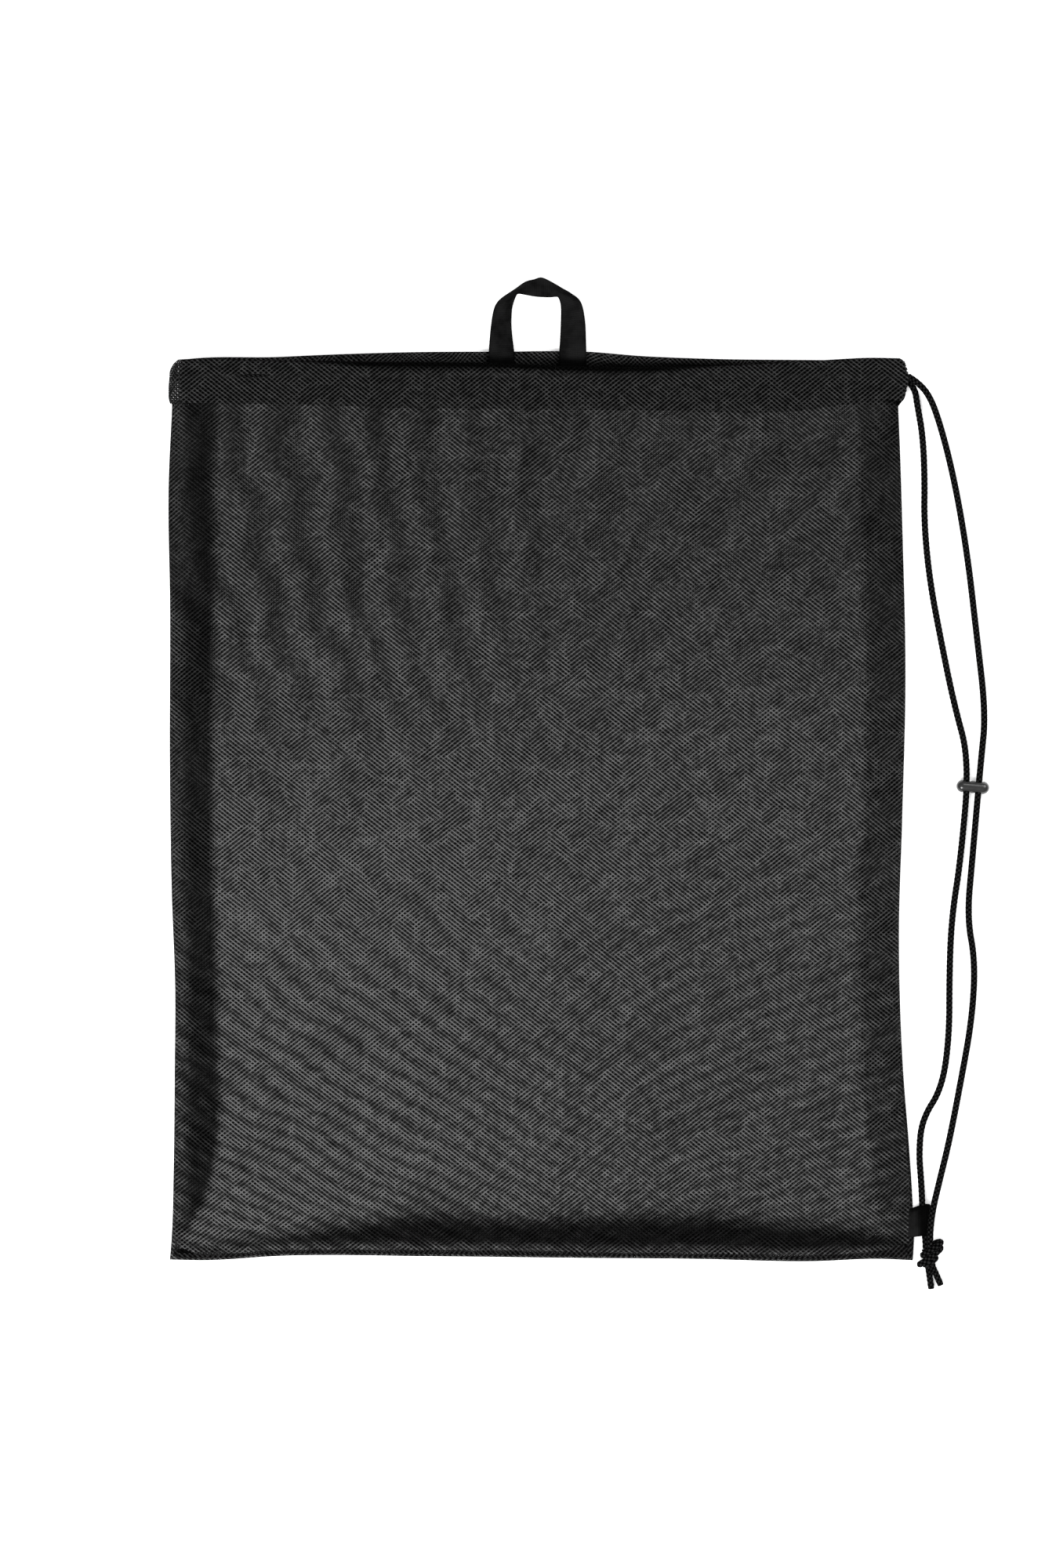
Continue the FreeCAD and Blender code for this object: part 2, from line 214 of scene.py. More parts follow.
LEFT_STRAND = [
    (216.3, 238.5, 3.5), (222.4, 233.6, 3.2), (224.4, 221.5, 2.2), (227.6, 203.5, 2.1),
    (228.8, 178.0, 2.1), (228.4, 150.0, 2.1), (231.8, 115.0, 2.1), (239.0, 77.0, 2.1),
    (246.6, 40.0, 2.2), beside_bead(-1, STRAIGHT_FROM), beside_bead(-1, STRAIGHT_TO),
    (245.2, -90.0, 2.1), (243.8, -124.0, 2.1), (243.8, -162.0, 2.1), (239.4, -194.0, 2.1),
    (227.2, -213.0, 2.1), (225.2, -233.0, 2.1), (226.7, -252.0, 2.6), (227.2, -267.0, 3.8),
    (229.0, -284.5, 3.8), (229.2, -291.6, 4.4),
]
RIGHT_STRAND = [
    (218.3, 238.2, 10.8), (224.4, 234.8, 9.6), (231.6, 226.6, 6.2), (237.2, 213.0, 2.8),
    (243.4, 191.0, 2.1), (249.6, 162.0, 2.1), (255.4, 126.0, 2.1), (260.2, 84.0, 2.1),
    (266.0, 34.0, 2.2), beside_bead(1, STRAIGHT_FROM), beside_bead(1, STRAIGHT_TO), (254.6, -90.0, 2.1),
    (259.6, -117.0, 2.1), (257.6, -152.0, 2.1), (250.8, -190.0, 2.1), (243.6, -227.0, 2.3),
    (237.4, -250.0, 6.0), (232.8, -267.0, 9.9), (230.9, -283.0, 9.9), (231.6, -290.6, 8.8),
]


def nurbs_line(points, steps):
    """Points, in metres, read from a smooth NURBS line over control points in millimetres."""
    curve = bpy.data.curves.new("route", "CURVE")
    curve.dimensions = "3D"
    curve.resolution_u = steps
    spline = curve.splines.new("NURBS")
    spline.points.add(len(points) - 1)
    for point, place in zip(spline.points, points):
        point.co = (*(c * MM for c in place), 1)
    spline.order_u = 3
    spline.use_endpoint_u = True
    holder = bpy.data.objects.new("route", curve)
    bpy.context.collection.objects.link(holder)
    mesh = bpy.data.meshes.new_from_object(holder)
    line = np.array([v.co for v in mesh.vertices])
    bpy.data.objects.remove(holder)
    bpy.data.curves.remove(curve)
    bpy.data.meshes.remove(mesh)
    return line


def distance_along(line):
    """Distance of each point of a line from its start."""
    return np.concatenate([[0], np.cumsum(np.linalg.norm(np.diff(line, axis=0), axis=1))])


def tube_points(line, angle, radius):
    """Rings of points round a line, at the given angles, that don't twist along it."""
    tangent = np.gradient(line, axis=0)
    tangent /= np.linalg.norm(tangent, axis=1)[:, None]
    side = np.cross(tangent[0], (0, 0, 1))
    sides = []
    for way in tangent:
        side = side - way * np.dot(side, way)
        side = side / np.linalg.norm(side)
        sides.append(side)
    sides = np.array(sides)
    ups = np.cross(tangent, sides)
    ring = np.cos(angle)[:, None] * sides[:, None, :] + np.sin(angle)[:, None] * ups[:, None, :]
    return (line[:, None, :] + radius * ring).reshape(-1, 3)


BRAID_STRANDS = 4
BRAID_LAY = 2.8 * MM
BRAID_CORE = 1.7 * MM
BRAID_RISE = 0.34 * MM


def braid_height(angle, distance):
    """Height, 0 to 1, of an eight-strand braid: four strands each way, over and under."""
    turn = BRAID_STRANDS * angle / TAU
    lay = distance / BRAID_LAY
    right, left = turn - lay, turn + lay
    right_index, left_index = np.round(right), np.round(left)
    right_ridge = np.sqrt(np.clip(1 - (2 * (right - right_index)) ** 2, 0, 1))
    left_ridge = np.sqrt(np.clip(1 - (2 * (left - left_index)) ** 2, 0, 1))
    right_over = 0.5 + 0.5 * np.cos(math.pi * (left + right_index))
    left_over = 0.5 - 0.5 * np.cos(math.pi * (right + left_index))
    # A strand that passes under another still stands a quarter as high.
    return np.maximum(right_ridge * (0.25 + 0.75 * right_over), left_ridge * (0.25 + 0.75 * left_over))


def braided(name, line, sides=24, cut_end=False):
    """Round braided cord along a line, closed at both ends."""
    distance = distance_along(line)
    angle = np.arange(sides) * TAU / sides
    height = braid_height(angle[None, :], distance[:, None])
    radius = BRAID_CORE + BRAID_RISE * height
    if cut_end:
        radius[-2:] *= np.array([0.97, 0.86])[:, None]
    vertices = tube_points(line, angle, radius[:, :, None])
    thing = add_object(name, vertices, capped_faces(len(line), sides))
    set_value(thing, "height", height.ravel())
    uv = np.stack(np.broadcast_arrays(angle[None, :] / TAU * 12, distance[:, None] / MM), axis=-1)
    set_uv(thing, uv.reshape(-1, 2))
    return thing


LEFT_LINE = nurbs_line(LEFT_STRAND, 90)
RIGHT_LINE = nurbs_line(RIGHT_STRAND, 90)
left_strand = braided("left_strand", LEFT_LINE)
right_strand = braided("right_strand", RIGHT_LINE)

# Knot: the two strands run through a doubled, slanting wrap and end in two short tails.
WRAP_TURNS = (-0.42, 2.55)
WRAP_POINTS = 34
WRAP_TILT = math.radians(31)
# Centre, reach and depth of the wrap along its way, as (share of the way, size) pairs
WRAP_ACROSS = [(0.0, 231.0), (0.15, 233.2), (0.45, 232.0), (0.75, 230.8), (1.0, 230.4)]
WRAP_ALONG = [(0.0, -289.5), (0.15, -290.0), (0.5, -294.8), (0.8, -299.4), (1.0, -299.5)]
WRAP_REACH = [(0.0, 2.0), (0.12, 5.2), (0.35, 6.9), (0.6, 7.2), (0.85, 4.6), (1.0, 2.0)]
WRAP_DEPTH = [(0.0, 2.4), (0.15, 3.9), (0.5, 4.3), (0.85, 3.8), (1.0, 2.4)]
WRAP_HEIGHT = 6.5
TAIL_ROUTES = [
    [(228.6, -291.8, 4.5), (229.4, -296.0, 5.6), (230.4, -301.0, 4.6),
     (231.8, -309.0, 2.6), (232.8, -316.2, 2.3)],
    [(233.2, -290.8, 8.4), (232.6, -296.0, 6.4), (232.8, -301.5, 4.8),
     (236.0, -308.0, 2.8), (238.6, -314.0, 2.3)],
]


def wrap_route():
    """Slanting turns of the knot round the two strands, as control points."""
    reach_way = np.array([math.cos(WRAP_TILT), math.sin(WRAP_TILT), 0])
    route = []
    for share in np.linspace(0, 1, WRAP_POINTS):
        turn = TAU * (WRAP_TURNS[0] + (WRAP_TURNS[1] - WRAP_TURNS[0]) * share)
        centre = np.array([along(WRAP_ACROSS, share), along(WRAP_ALONG, share), WRAP_HEIGHT])
        centre = centre + along(WRAP_REACH, share) * math.cos(turn) * reach_way
        centre[2] += along(WRAP_DEPTH, share) * math.sin(turn)
        route.append(tuple(centre))
    return route


def joined(name, parts):
    """One object out of several."""
    bpy.ops.object.select_all(action="DESELECT")
    for part in parts:
        part.select_set(True)
    bpy.context.view_layer.objects.active = parts[0]
    bpy.ops.object.join()
    parts[0].name = name
    parts[0].data.name = name
    return parts[0]


knot_parts = [braided("knot_wrap", nurbs_line(wrap_route(), 16))]
for route in TAIL_ROUTES:
    knot_parts.append(braided("tail", nurbs_line(route, 26), cut_end=True))
knot = joined("knot", knot_parts)

# Cord inside the casing
CASING_GAP = 0.8
TURN_Z = CASING_DEPTH + CASING_GAP / 2
# Where the front layer's left and right halves meet
MIDDLE = -4.0
FRONT_CORD = [
    (TURN_X, CORD_Y, 11.3), (-190.0, CORD_Y, 11.3), (-140.0, CORD_Y, 17.1), (-100.0, CORD_Y, 17.2),
    (0.0, CORD_Y, 17.0), (85.0, CORD_Y, 17.2), (125.0, CORD_Y, 17.1), (180.0, CORD_Y, 11.3),
    (205.0, CORD_Y, 11.3), (219.2, 238.0, 10.7),
]
BACK_CORD = [
    (217.2, 238.0, 3.5), (205.0, CORD_Y, 3.5), (80.0, CORD_Y, 3.6), (-80.0, CORD_Y, 3.4),
    (TURN_X, CORD_Y, 3.5),
]


def turn_cord_route():
    """Cord round the left fold of the casing, from the back run to the front run."""
    radius = TURN_Z - CASING_DEPTH / 2
    route = []
    for angle in np.linspace(0, math.pi, 9):
        route.append((TURN_X - radius * math.sin(angle), CORD_Y, TURN_Z - radius * math.cos(angle)))
    return route


back_run = braided("cord_back_run", nurbs_line(BACK_CORD, 150), sides=12)
cord_turn = braided("cord_turn", nurbs_line(turn_cord_route(), 5), sides=12)
front_line = nurbs_line(FRONT_CORD, 60)
split = int(np.argmin(np.abs(front_line[:, 0] - MIDDLE * MM)))
front_run_left = braided("cord_front_run_left", front_line[: split + 1], sides=12)
front_run_right = braided("cord_front_run_right", front_line[split:], sides=12)

# ---------------- outline of the bag

# Edges of the panels and casings as (place, distance from the CAD box) pairs
LEFT_EDGE = measured_from(LEFT, [
    (-299.7, 0.2), (-286, 1.3), (-243, 2.6), (-186, 3.2), (-135, 3.5), (-71, 1.3), (0, 0.3),
    (100, 0.4), (172, -0.5), (221, 1.6),
])
RIGHT_EDGE = measured_from(RIGHT, [
    (-299.7, -0.4), (-286, 0.3), (-262, -0.6), (-228, -2.8), (-186, -6.1), (-100, -8.8), (-30, -6.8),
    (56, -4.8), (144, -6.6), (190, -8.0), (225, -9.4),
])
BOTTOM_EDGE = measured_from(BOTTOM, [
    (-231, 1.1), (-210, 0.7), (-165, 3.3), (-70, 3.1), (20, 2.1), (90, 1.5), (160, 0.1), (203, 1.5),
    (222, 0.7),
])
FRONT_HEM = measured_from(FRONT_PANEL_TOP, [
    (-231, 3.1), (-171, 2.1), (-86, -0.8), (-29, -1.3), (67, -2.3), (146, -2.5), (167, 0.1), (185, 2.9),
    (203, 4.9), (216, 4.1),
])
FRONT_TOP = measured_from(FRONT_CASING_TOP, [
    (-231, 1.1), (-200, 2.1), (-185, 1.3), (-115, -0.6), (-29, -1.6), (20, -3.7), (48, -4.0),
    (124, -2.1), (170, 1.1), (191, 2.3), (216, 2.1),
])
BACK_TOP = measured_from(BACK_CASING_TOP, [
    (-231, -5.5), (-210, -3.7), (-167, -3.3), (-145, -2.3), (-86, -0.4), (-29, 0), (24, -0.1),
    (55, -2.6), (95, -4.3), (160, -5.1), (216, -5.5),
])
BACK_HEM_DROP = 27.5
# Height of the stitched lower edge of the back casing
BACK_HEM_HEIGHT = 3.55
# Height of the front casing's underside along the mouth
MOUTH_ARCH = measured_from(FRONT_CASING_FLOOR, [
    (-231, 0), (-185, 0.2), (-140, 5.4), (-100, 6.0), (0, 5.6), (90, 6.1), (128, 5.2), (178, 0.2), (216, 0),
])

# Widths of the seam allowances, and how far inside the seam they begin
LEFT_ALLOWANCE = [
    (-299, 8), (-283, 9.5), (-262, 20), (-240, 26), (-150, 27.5), (-20, 27), (120, 28.5), (222, 29),
]
RIGHT_ALLOWANCE = [(-299, 15), (-270, 22), (-240, 24.5), (-150, 25.5), (-20, 25), (120, 25), (222, 26)]
BOTTOM_ALLOWANCE = [
    (-231, 6), (-175, 10), (-124, 17), (-70, 25), (-30, 22), (60, 25), (150, 22), (195, 16), (222, 9),
]
LEFT_INSET = [(-299, 1.5), (-280, 3.5), (-240, 5.5), (-150, 6.0), (0, 4.5), (120, 2.6), (222, 1.8)]
RIGHT_INSET = [(-299, 0.3), (-240, 0.4), (-185, 1.0), (-120, 3.4), (0, 3.4), (222, 1.8)]
BOTTOM_INSET = 1.5

# ---------------- cloth pattern

CELL_ACROSS = 3.36
CELL_UP = 2.64


def plan_place(x, y):
    """Place across the bag and down from its mouth, in decimetres."""
    return x / 100, 2.25 - y / 100


def fringes(x, y):
    """How far, in cells, the back layer's two diagonal rows of holes run ahead of the front's."""
    across, fall = plan_place(x, y)
    slant = 0.3 + 0.7 * smoothstep(-2.3, 1.0, across)
    rising = 3.0 * across + slant * (1.1 * fall + 1.03 * fall**2)
    rising = rising + 0.2 * ripple(x, y, 80, 5) + 0.06 * ripple(x, y, 17, 6)
    falling = (3.4 + 0.25 * fall) * across - 0.137 * fall**3
    falling = falling + 0.2 * ripple(x, y, 80, 8) + 0.06 * ripple(x, y, 17, 9)
    return rising, falling


def lattice(x, y, share):
    """Cloth coordinates of a layer; share says how much of the two layers' mismatch it takes."""
    rising, falling = fringes(x, y)
    shift_across = CELL_ACROSS * (rising + falling) / 2
    shift_up = CELL_UP * (rising - falling) / 2
    return np.stack([x + share * shift_across, y + share * shift_up], axis=-1)


# ---------------- panels

EDGE_REACH = 36.0
HEM_OVERLAP = 2.4
# Change of hole size from the bottom up
STRETCH = [(-300, 0.04), (-150, 0.02), (0, -0.02), (120, -0.06), (225, -0.1)]
FRONT_OPENING = -0.06
# A value of opening that leaves no holes at all
CLOSED = -1.4
BACK_OPENING = -1.1
# Painted shade: the back panel's threads are darker, lying under the front layer
BACK_PAINTED_SHADE = 0.55
# Painted shade on the front panel where allowances lie behind it
LEFT_ALLOWANCE_SHADE = [(-300, 0.9), (-100, 0.87), (50, 0.79), (225, 0.7)]
RIGHT_ALLOWANCE_SHADE = 0.47
BOTTOM_ALLOWANCE_SHADE = 0.93
# Painted light on the front panel's threads from the bottom up, lighter lower down where more light comes
# through both layers
THREAD_PAINTED_LIGHT = [(-300, 1.75), (-200, 1.75), (-100, 1.75), (0, 1.7), (100, 1.25), (225, 0.95)]
# Heights of the front panel's middle above the seams, of the seams and of the back panel
PUFF_HEIGHT = 12.6
SEAM_HEIGHT = 1.5
BACK_HEIGHT = 0.75
# Height of the front hem above the casing's underside
HEM_RISE = 3.25
# Distance between the front panel's soft folds under the hem
GATHER_PITCH = 34


def panel_plan(columns, rows, hem_table, hem_drop=0.0):
    """Plan of a panel as two arrays, from the bottom seam to just under the hem."""
    u = np.linspace(0, 1, columns)[None, :]
    v = np.linspace(0, 1, rows)[:, None]
    rough_x = -231 + 453 * u
    low = along(BOTTOM_EDGE, rough_x)
    high = along(hem_table, rough_x) - hem_drop + HEM_OVERLAP
    y = low + (high - low) * v
    return along(LEFT_EDGE, y) * (1 - u) + along(RIGHT_EDGE, y) * u, y


def edge_rise(distance, reach=EDGE_REACH):
    """0 at a seam, rising smoothly to 1."""
    return 1 - (1 - np.clip(distance / reach, 0, 1)) ** 2


def from_seams(x, y):
    """Distances from the left, the right and the bottom seam."""
    return x - along(LEFT_EDGE, y), along(RIGHT_EDGE, y) - x, y - along(BOTTOM_EDGE, x)


def hem_height(x):
    """Height of the stitched lower edge of the front casing."""
    return along(MOUTH_ARCH, x) + HEM_RISE


def meeting_hem(height, hem, below_hem, beside, reach):
    """A panel's height, drawn up to the casing's hem except close to the side seams."""
    return height + (hem - height) * smoothstep(reach, 0, below_hem) * edge_rise(beside, 14)


def front_height(x, y):
    """Height of the front panel."""
    left, right, below = from_seams(x, y)
    below_hem = along(FRONT_HEM, x) - y
    rise = edge_rise(left) * edge_rise(right) * edge_rise(below)
    soft = ripple(x, y, 190, 21) * 0.9 + ripple(x, y, 70, 22) * 0.35
    gathers = np.sin(TAU * x / GATHER_PITCH + 1.2 * ripple(x, y, 160, 4)) * smoothstep(130, 0, below_hem)
    folds = 0.9 * gathers * smoothstep(60, -120, x) + 0.35 * gathers
    puff = SEAM_HEIGHT + (PUFF_HEIGHT + soft + folds) * rise
    return meeting_hem(puff, hem_height(x), below_hem, np.minimum(left, right), 34)


def painted_fringes(x, y):
    """Painted light and shade where the layers' rows of holes agree or cross."""
    across, fall = plan_place(x, y)
    rising, falling = (np.cos(TAU * phase) for phase in fringes(x, y))
    left = smoothstep(0.9, -1.2, across)
    top = smoothstep(2.4, 1.2, fall)
    low = smoothstep(2.6, 4.2, fall)
    falling_part = left * (0.27 * top + 0.1 + 0.45 * low) + 0.1 * low
    rising_part = (1 - left) * 0.13 + 0.14 * low
    dots = 0.07 + 0.16 * low
    # Soft random tone, and painted light over the lower left
    tone_and_painted_light = 0.07 * ripple(x, y, 42, 73) + 0.28 * left * smoothstep(2.0, 3.2, fall)
    return 1 + falling_part * falling + rising_part * rising + dots * rising * falling + tone_and_painted_light


def front_painted_shade(x, y):
    """Painted shade of the front panel, darker where allowances lie behind it, times painted light from the
    bottom up and painted fringes of light and shade.
    """
    from_left, from_right, from_below = from_seams(x, y)
    # The painted shade eases near the bottom seam, where the seam rolls up into the light, and near the left
    # seam
    roll = 1 - 0.6 * smoothstep(11.0, 4.0, from_below)
    rim = 1 - 0.45 * smoothstep(13.0, 3.0, from_left)
    left = along(LEFT_ALLOWANCE_SHADE, y) * rim * smoothstep(-4.0, 4.0, along(LEFT_ALLOWANCE, y) - from_left)
    right = RIGHT_ALLOWANCE_SHADE * smoothstep(-4.0, 4.0, along(RIGHT_ALLOWANCE, y) - from_right)
    below = BOTTOM_ALLOWANCE_SHADE * smoothstep(-13.0, 5.0, along(BOTTOM_ALLOWANCE, x) - from_below)
    darker = np.maximum(np.maximum(left, right), below) * roll
    return (1 - darker) * along(THREAD_PAINTED_LIGHT, y) * painted_fringes(x, y)


def back_height(x, y):
    """Height of the back panel, almost flat on the surface."""
    left, right, below = from_seams(x, y)
    inside = edge_rise(left, 20) * edge_rise(right, 20) * edge_rise(below, 20)
    flat = BACK_HEIGHT + (SEAM_HEIGHT - BACK_HEIGHT) * (1 - inside)
    flat = flat + 0.15 * (1 + ripple(x, y, 90, 31)) * inside
    below_hem = along(BACK_TOP, x) - BACK_HEM_DROP - y
    return meeting_hem(flat, BACK_HEM_HEIGHT, below_hem, np.minimum(left, right), 22)


def front_panel():
    """Front panel in a left and a right half, which share the points where they meet."""
    x, y = panel_plan(226, 260, FRONT_HEM)
    points = np.stack([x, y, front_height(x, y)], axis=-1)
    uv = np.stack([x, y], axis=-1)
    opening = FRONT_OPENING + along(STRETCH, y) - 0.05 * smoothstep(20, 180, x)
    shade = front_painted_shade(x, y)
    middle = x.shape[1] // 2
    left, right = np.s_[:, : middle + 1], np.s_[:, middle:]
    return (
        cloth_grid("front_mesh_left", points[left], uv[left], shade[left], opening[left]),
        cloth_grid("front_mesh_right", points[right], uv[right], shade[right], opening[right]),
    )


def back_panel():
    """Back panel, up to the hem of the back casing."""
    x, y = panel_plan(160, 184, BACK_TOP, BACK_HEM_DROP)
    points = np.stack([x, y, back_height(x, y)], axis=-1)
    return cloth_grid("back_mesh", points, lattice(x, y, 1), BACK_PAINTED_SHADE, BACK_OPENING)


front_left, front_right = front_panel()
back_mesh = back_panel()

# ---------------- casing

# Points once round a casing, and along it
CASING_ROUND = 28
CASING_ALONG = 190
# Thickness of each casing over the cord, and how far to each side the cord lifts it
FRONT_THICKNESS = 5.9
BACK_THICKNESS = 5.6
CORD_BULGE = 7.5
# Gap left under the front casing
ARCH_GAP = 0.3
# How far the corners of the casing's right end draw in, as (place, distance) pairs
CASING_END = [(217, -3.9), (221.5, -3.4), (224.5, -1.1), (228, 0), (245.5, -0.1), (248.2, -1.4), (250, -4.7)]
# How far the left end reaches out from the straight part, as (place, reach) pairs
TURN_REACH = [
    (221, 6.0), (224.4, 7.2), (230.2, 7.7), (238.8, 6.9), (244, 6.0), (247, 4.2), (248.6, 2.2), (250, 0.1),
]


def casing_profile(count):
    """Shares of the casing's height, and the side of the fold, once round from hem to hem."""
    t = np.linspace(0, 1, count)
    share = 0.5 - 0.5 * np.cos(math.pi * (1 - np.abs(2 * t - 1)))
    return share, np.sign(0.5 - t)


def rounded_end(points):
    """Rounds the corners of the casing's right end."""
    pull = along(CASING_END, points[..., 1])
    points[..., 0] += pull * smoothstep(CASING_RIGHT - 20.3, CASING_RIGHT, points[..., 0])
    return points


def casing_points(x, low, high, floor, depth, flip):
    """One casing as rows along X of points round its flat tunnel.

    low and high are its hem and fold, floor its underside and depth its thickness
    where the cord lies. flip puts the outer layer underneath.
    """
    share, side = casing_profile(CASING_ROUND)
    share, side = share[None, :], side[None, :]
    x, low, high, floor = (a[:, None] for a in (x, low, high, floor))
    y = low + (high - low) * share
    away = np.abs(y - CORD_Y) / CORD_BULGE
    swell = 0.42 + 0.58 * np.exp(-(away**2))
    ends = np.sin(math.pi * np.clip(share, 0, 1)) ** 0.5
    hem = 1 - share
    half = 0.5 * depth * swell * ends + 0.35 * hem
    wrinkle = 0.35 * ripple(x, 2.2 * y, 26, 41) * ends * (1 if flip else side)
    middle = floor + depth / 2
    z = middle + side * half * (-1 if flip else 1) + wrinkle
    return rounded_end(np.stack([x + 0 * y, y, z], axis=-1))


def casing_uv(points, share_of_mismatch):
    """Cloth coordinates round the casing: the lattice goes on over the fold."""
    x, y = points[..., 0], points[..., 1]
    folded = np.linspace(0, 1, CASING_ROUND)[None, :] > 0.5
    top = y.max(axis=1, keepdims=True)
    unfolded = np.where(folded, 2 * top - y, y)
    skew = 1.2 * ripple(x, y, 45, 47) * folded
    return lattice(x + skew, unfolded + skew, share_of_mismatch)


def inner_shade(outer, inner):
    """Painted light and shade round a casing: one value on its outer layer, another inside."""
    t = np.linspace(0, 1, CASING_ROUND)
    return (outer + (inner - outer) * smoothstep(0.44, 0.54, t))[None, :]


def casing_opening(outer, inner):
    """Hole size round a casing: closed up along the sharp fold and the hem."""
    t = np.linspace(0, 1, CASING_ROUND)
    fold = np.exp(-(((t - 0.5) / 0.08) ** 2))
    hem = np.exp(-((np.minimum(t, 1 - t) / 0.05) ** 2))
    return (outer + (inner - outer) * smoothstep(0.46, 0.56, t) - 0.9 * fold - 0.5 * hem)[None, :]


# Width of the painted shade along the front casing's rolled lip at the mouth
LIP_SHADE_WIDTH = [(-231, 0.4), (-150, 0.6), (-110, 3.4), (0, 3.4), (60, 3.4), (100, 0.6), (216, 0.4)]


def front_casing():
    """Front casing in a left and a right half, and its outer profile at the left end."""
    x = np.linspace(TURN_X, CASING_RIGHT, CASING_ALONG)
    floor = along(MOUTH_ARCH, x) + ARCH_GAP
    high = along(FRONT_TOP, x)
    points = casing_points(x, along(FRONT_HEM, x), high, floor, FRONT_THICKNESS, flip=False)
    uv = casing_uv(points, 0)
    middle = int(np.argmin(np.abs(x - MIDDLE)))
    lip = along(LIP_SHADE_WIDTH, x)[:, None]
    lip_shade = smoothstep(lip + 1.5, lip - 1.0, high[:, None] - points[..., 1])
    # Painted shade: the inner layers are much darker than the outer one, which goes nearly black along the
    # lip where it rolls into the mouth
    shade = inner_shade(1.0, 0.1) * (1 - 0.96 * lip_shade)
    opening = casing_opening(0.02, CLOSED)
    left, right = np.s_[: middle + 1], np.s_[middle:]
    return (
        cloth_grid("casing_front_left", points[left], uv[left], shade[left], opening),
        cloth_grid("casing_front_right", points[right], uv[right], shade[right], opening),
        points[0, : CASING_ROUND // 2],
    )


def back_casing():
    """Back casing, its outer layer on the surface, and its outer profile at the left end."""
    x = np.linspace(TURN_X, CASING_RIGHT, CASING_ALONG)
    floor = np.full_like(x, BACK_HEIGHT)
    high = along(BACK_TOP, x)
    points = casing_points(x, high - BACK_HEM_DROP, high, floor, BACK_THICKNESS, flip=True)
    # Painted shadow on the inner layer where the front casing's edge stands over it; the inner layer, facing
    # up, is painted lighter than the outer layer on the surface
    gap_shadow = smoothstep(249.5, 246.0, points[..., 1])
    inside = smoothstep(0.5, 0.6, np.linspace(0, 1, CASING_ROUND))
    shade = inner_shade(0.3, 1.5) * (1 - 0.95 * gap_shadow * inside)
    piece = cloth_grid("casing_back", points, casing_uv(points, 1), shade, casing_opening(CLOSED, -0.3))
    return piece, points[0, : CASING_ROUND // 2]


def casing_turn(above, below):
    """Casing round the left side seam, from the front casing's outer layer to the back's."""
    angles = np.linspace(0, math.pi, 22)[:, None]
    share = np.linspace(0, 1, 30)[None, :]
    toward = (1 + np.cos(angles)) / 2
    lower = below[:, 1].min() * (1 - toward) + above[:, 1].min() * toward
    upper = below[:, 1].max() * (1 - toward) + above[:, 1].max() * toward
    y = lower + (upper - lower) * share
    top = np.interp(y, above[:, 1], above[:, 2])
    bottom = np.interp(y, below[:, 1], below[:, 2])
    reach = along(TURN_REACH, y)
    x = TURN_X - reach * np.sin(angles) ** 0.8 + 0.2 * ripple(y, 9 * angles, 14, 44) * np.sin(angles)
    z = (top + bottom) / 2 + (top - bottom) / 2 * np.cos(angles)
    uv = lattice(TURN_X - 9 * angles + 0 * y, y, 0.2)
    opening = -0.5 + 0.3 * smoothstep(232, 240, y)
    return cloth_grid("casing_round_end", np.stack([x, y, z], axis=-1), uv, 0.9, opening)


casing_left, casing_right, front_profile = front_casing()
casing_back, back_profile = back_casing()
casing_fold = casing_turn(front_profile, back_profile)

# ---------------- seam allowances

LAYER_STEP = 0.7
# Painted shade of the two allowance layers under the front panel, the lower one darkest
LAYER_PAINTED_SHADES = (0.05, 0.35)
LAYER_OPENING = (CLOSED, -0.6)
SIDE_STRIP_HEIGHT = 1.9
BOTTOM_STRIP_HEIGHT = 3.4


def side_width(widths, y, layer):
    """Width of a side allowance, with a wavering cut edge."""
    return along(widths, y) + 0.8 * np.sin(y / 17 + 2 * layer) + 0.5 * np.sin(y / 6.1 + layer) - 1.6 * layer


def bottom_width(x, layer):
    """Width of the bottom allowance, with a wavering cut edge."""
    return along(BOTTOM_ALLOWANCE, x) + 0.9 * np.sin(x / 13 + 2 * layer) - 1.4 * layer


def layer_opening(layer, t):
    """Hole size across an allowance: tight, and loose along the cut edge."""
    return LAYER_OPENING[layer] + (0.5 - LAYER_OPENING[layer]) * smoothstep(0.72, 1.0, t)


def side_allowance(name, edge, widths, insets, inward, layer):
    """Strip of cloth inside a side seam, from near the seam to its cut edge."""
    y = np.linspace(-296.5, 222, 172)[:, None]
    t = np.linspace(0, 1, 12)[None, :]
    first = along(insets, y)
    x = along(edge, y) + inward * (first + (side_width(widths, y, layer) - first) * t)
    z = SIDE_STRIP_HEIGHT + LAYER_STEP * layer + 0.5 * t * (1 + ripple(x, y, 40, 51 + layer)) + 0 * x
    points = np.stack([x, y + 0 * t, z], axis=-1)
    skew = 1.5 * layer + (0.9 if inward > 0 else 2.3)
    uv = lattice(x + skew, y + 1.1 * skew, 0.5)
    opening = layer_opening(layer, t) + 0 * x
    if inward < 0:
        points, uv, opening = points[:, ::-1], uv[:, ::-1], opening[:, ::-1]
    return cloth_grid(name, points, uv, LAYER_PAINTED_SHADES[layer], opening)


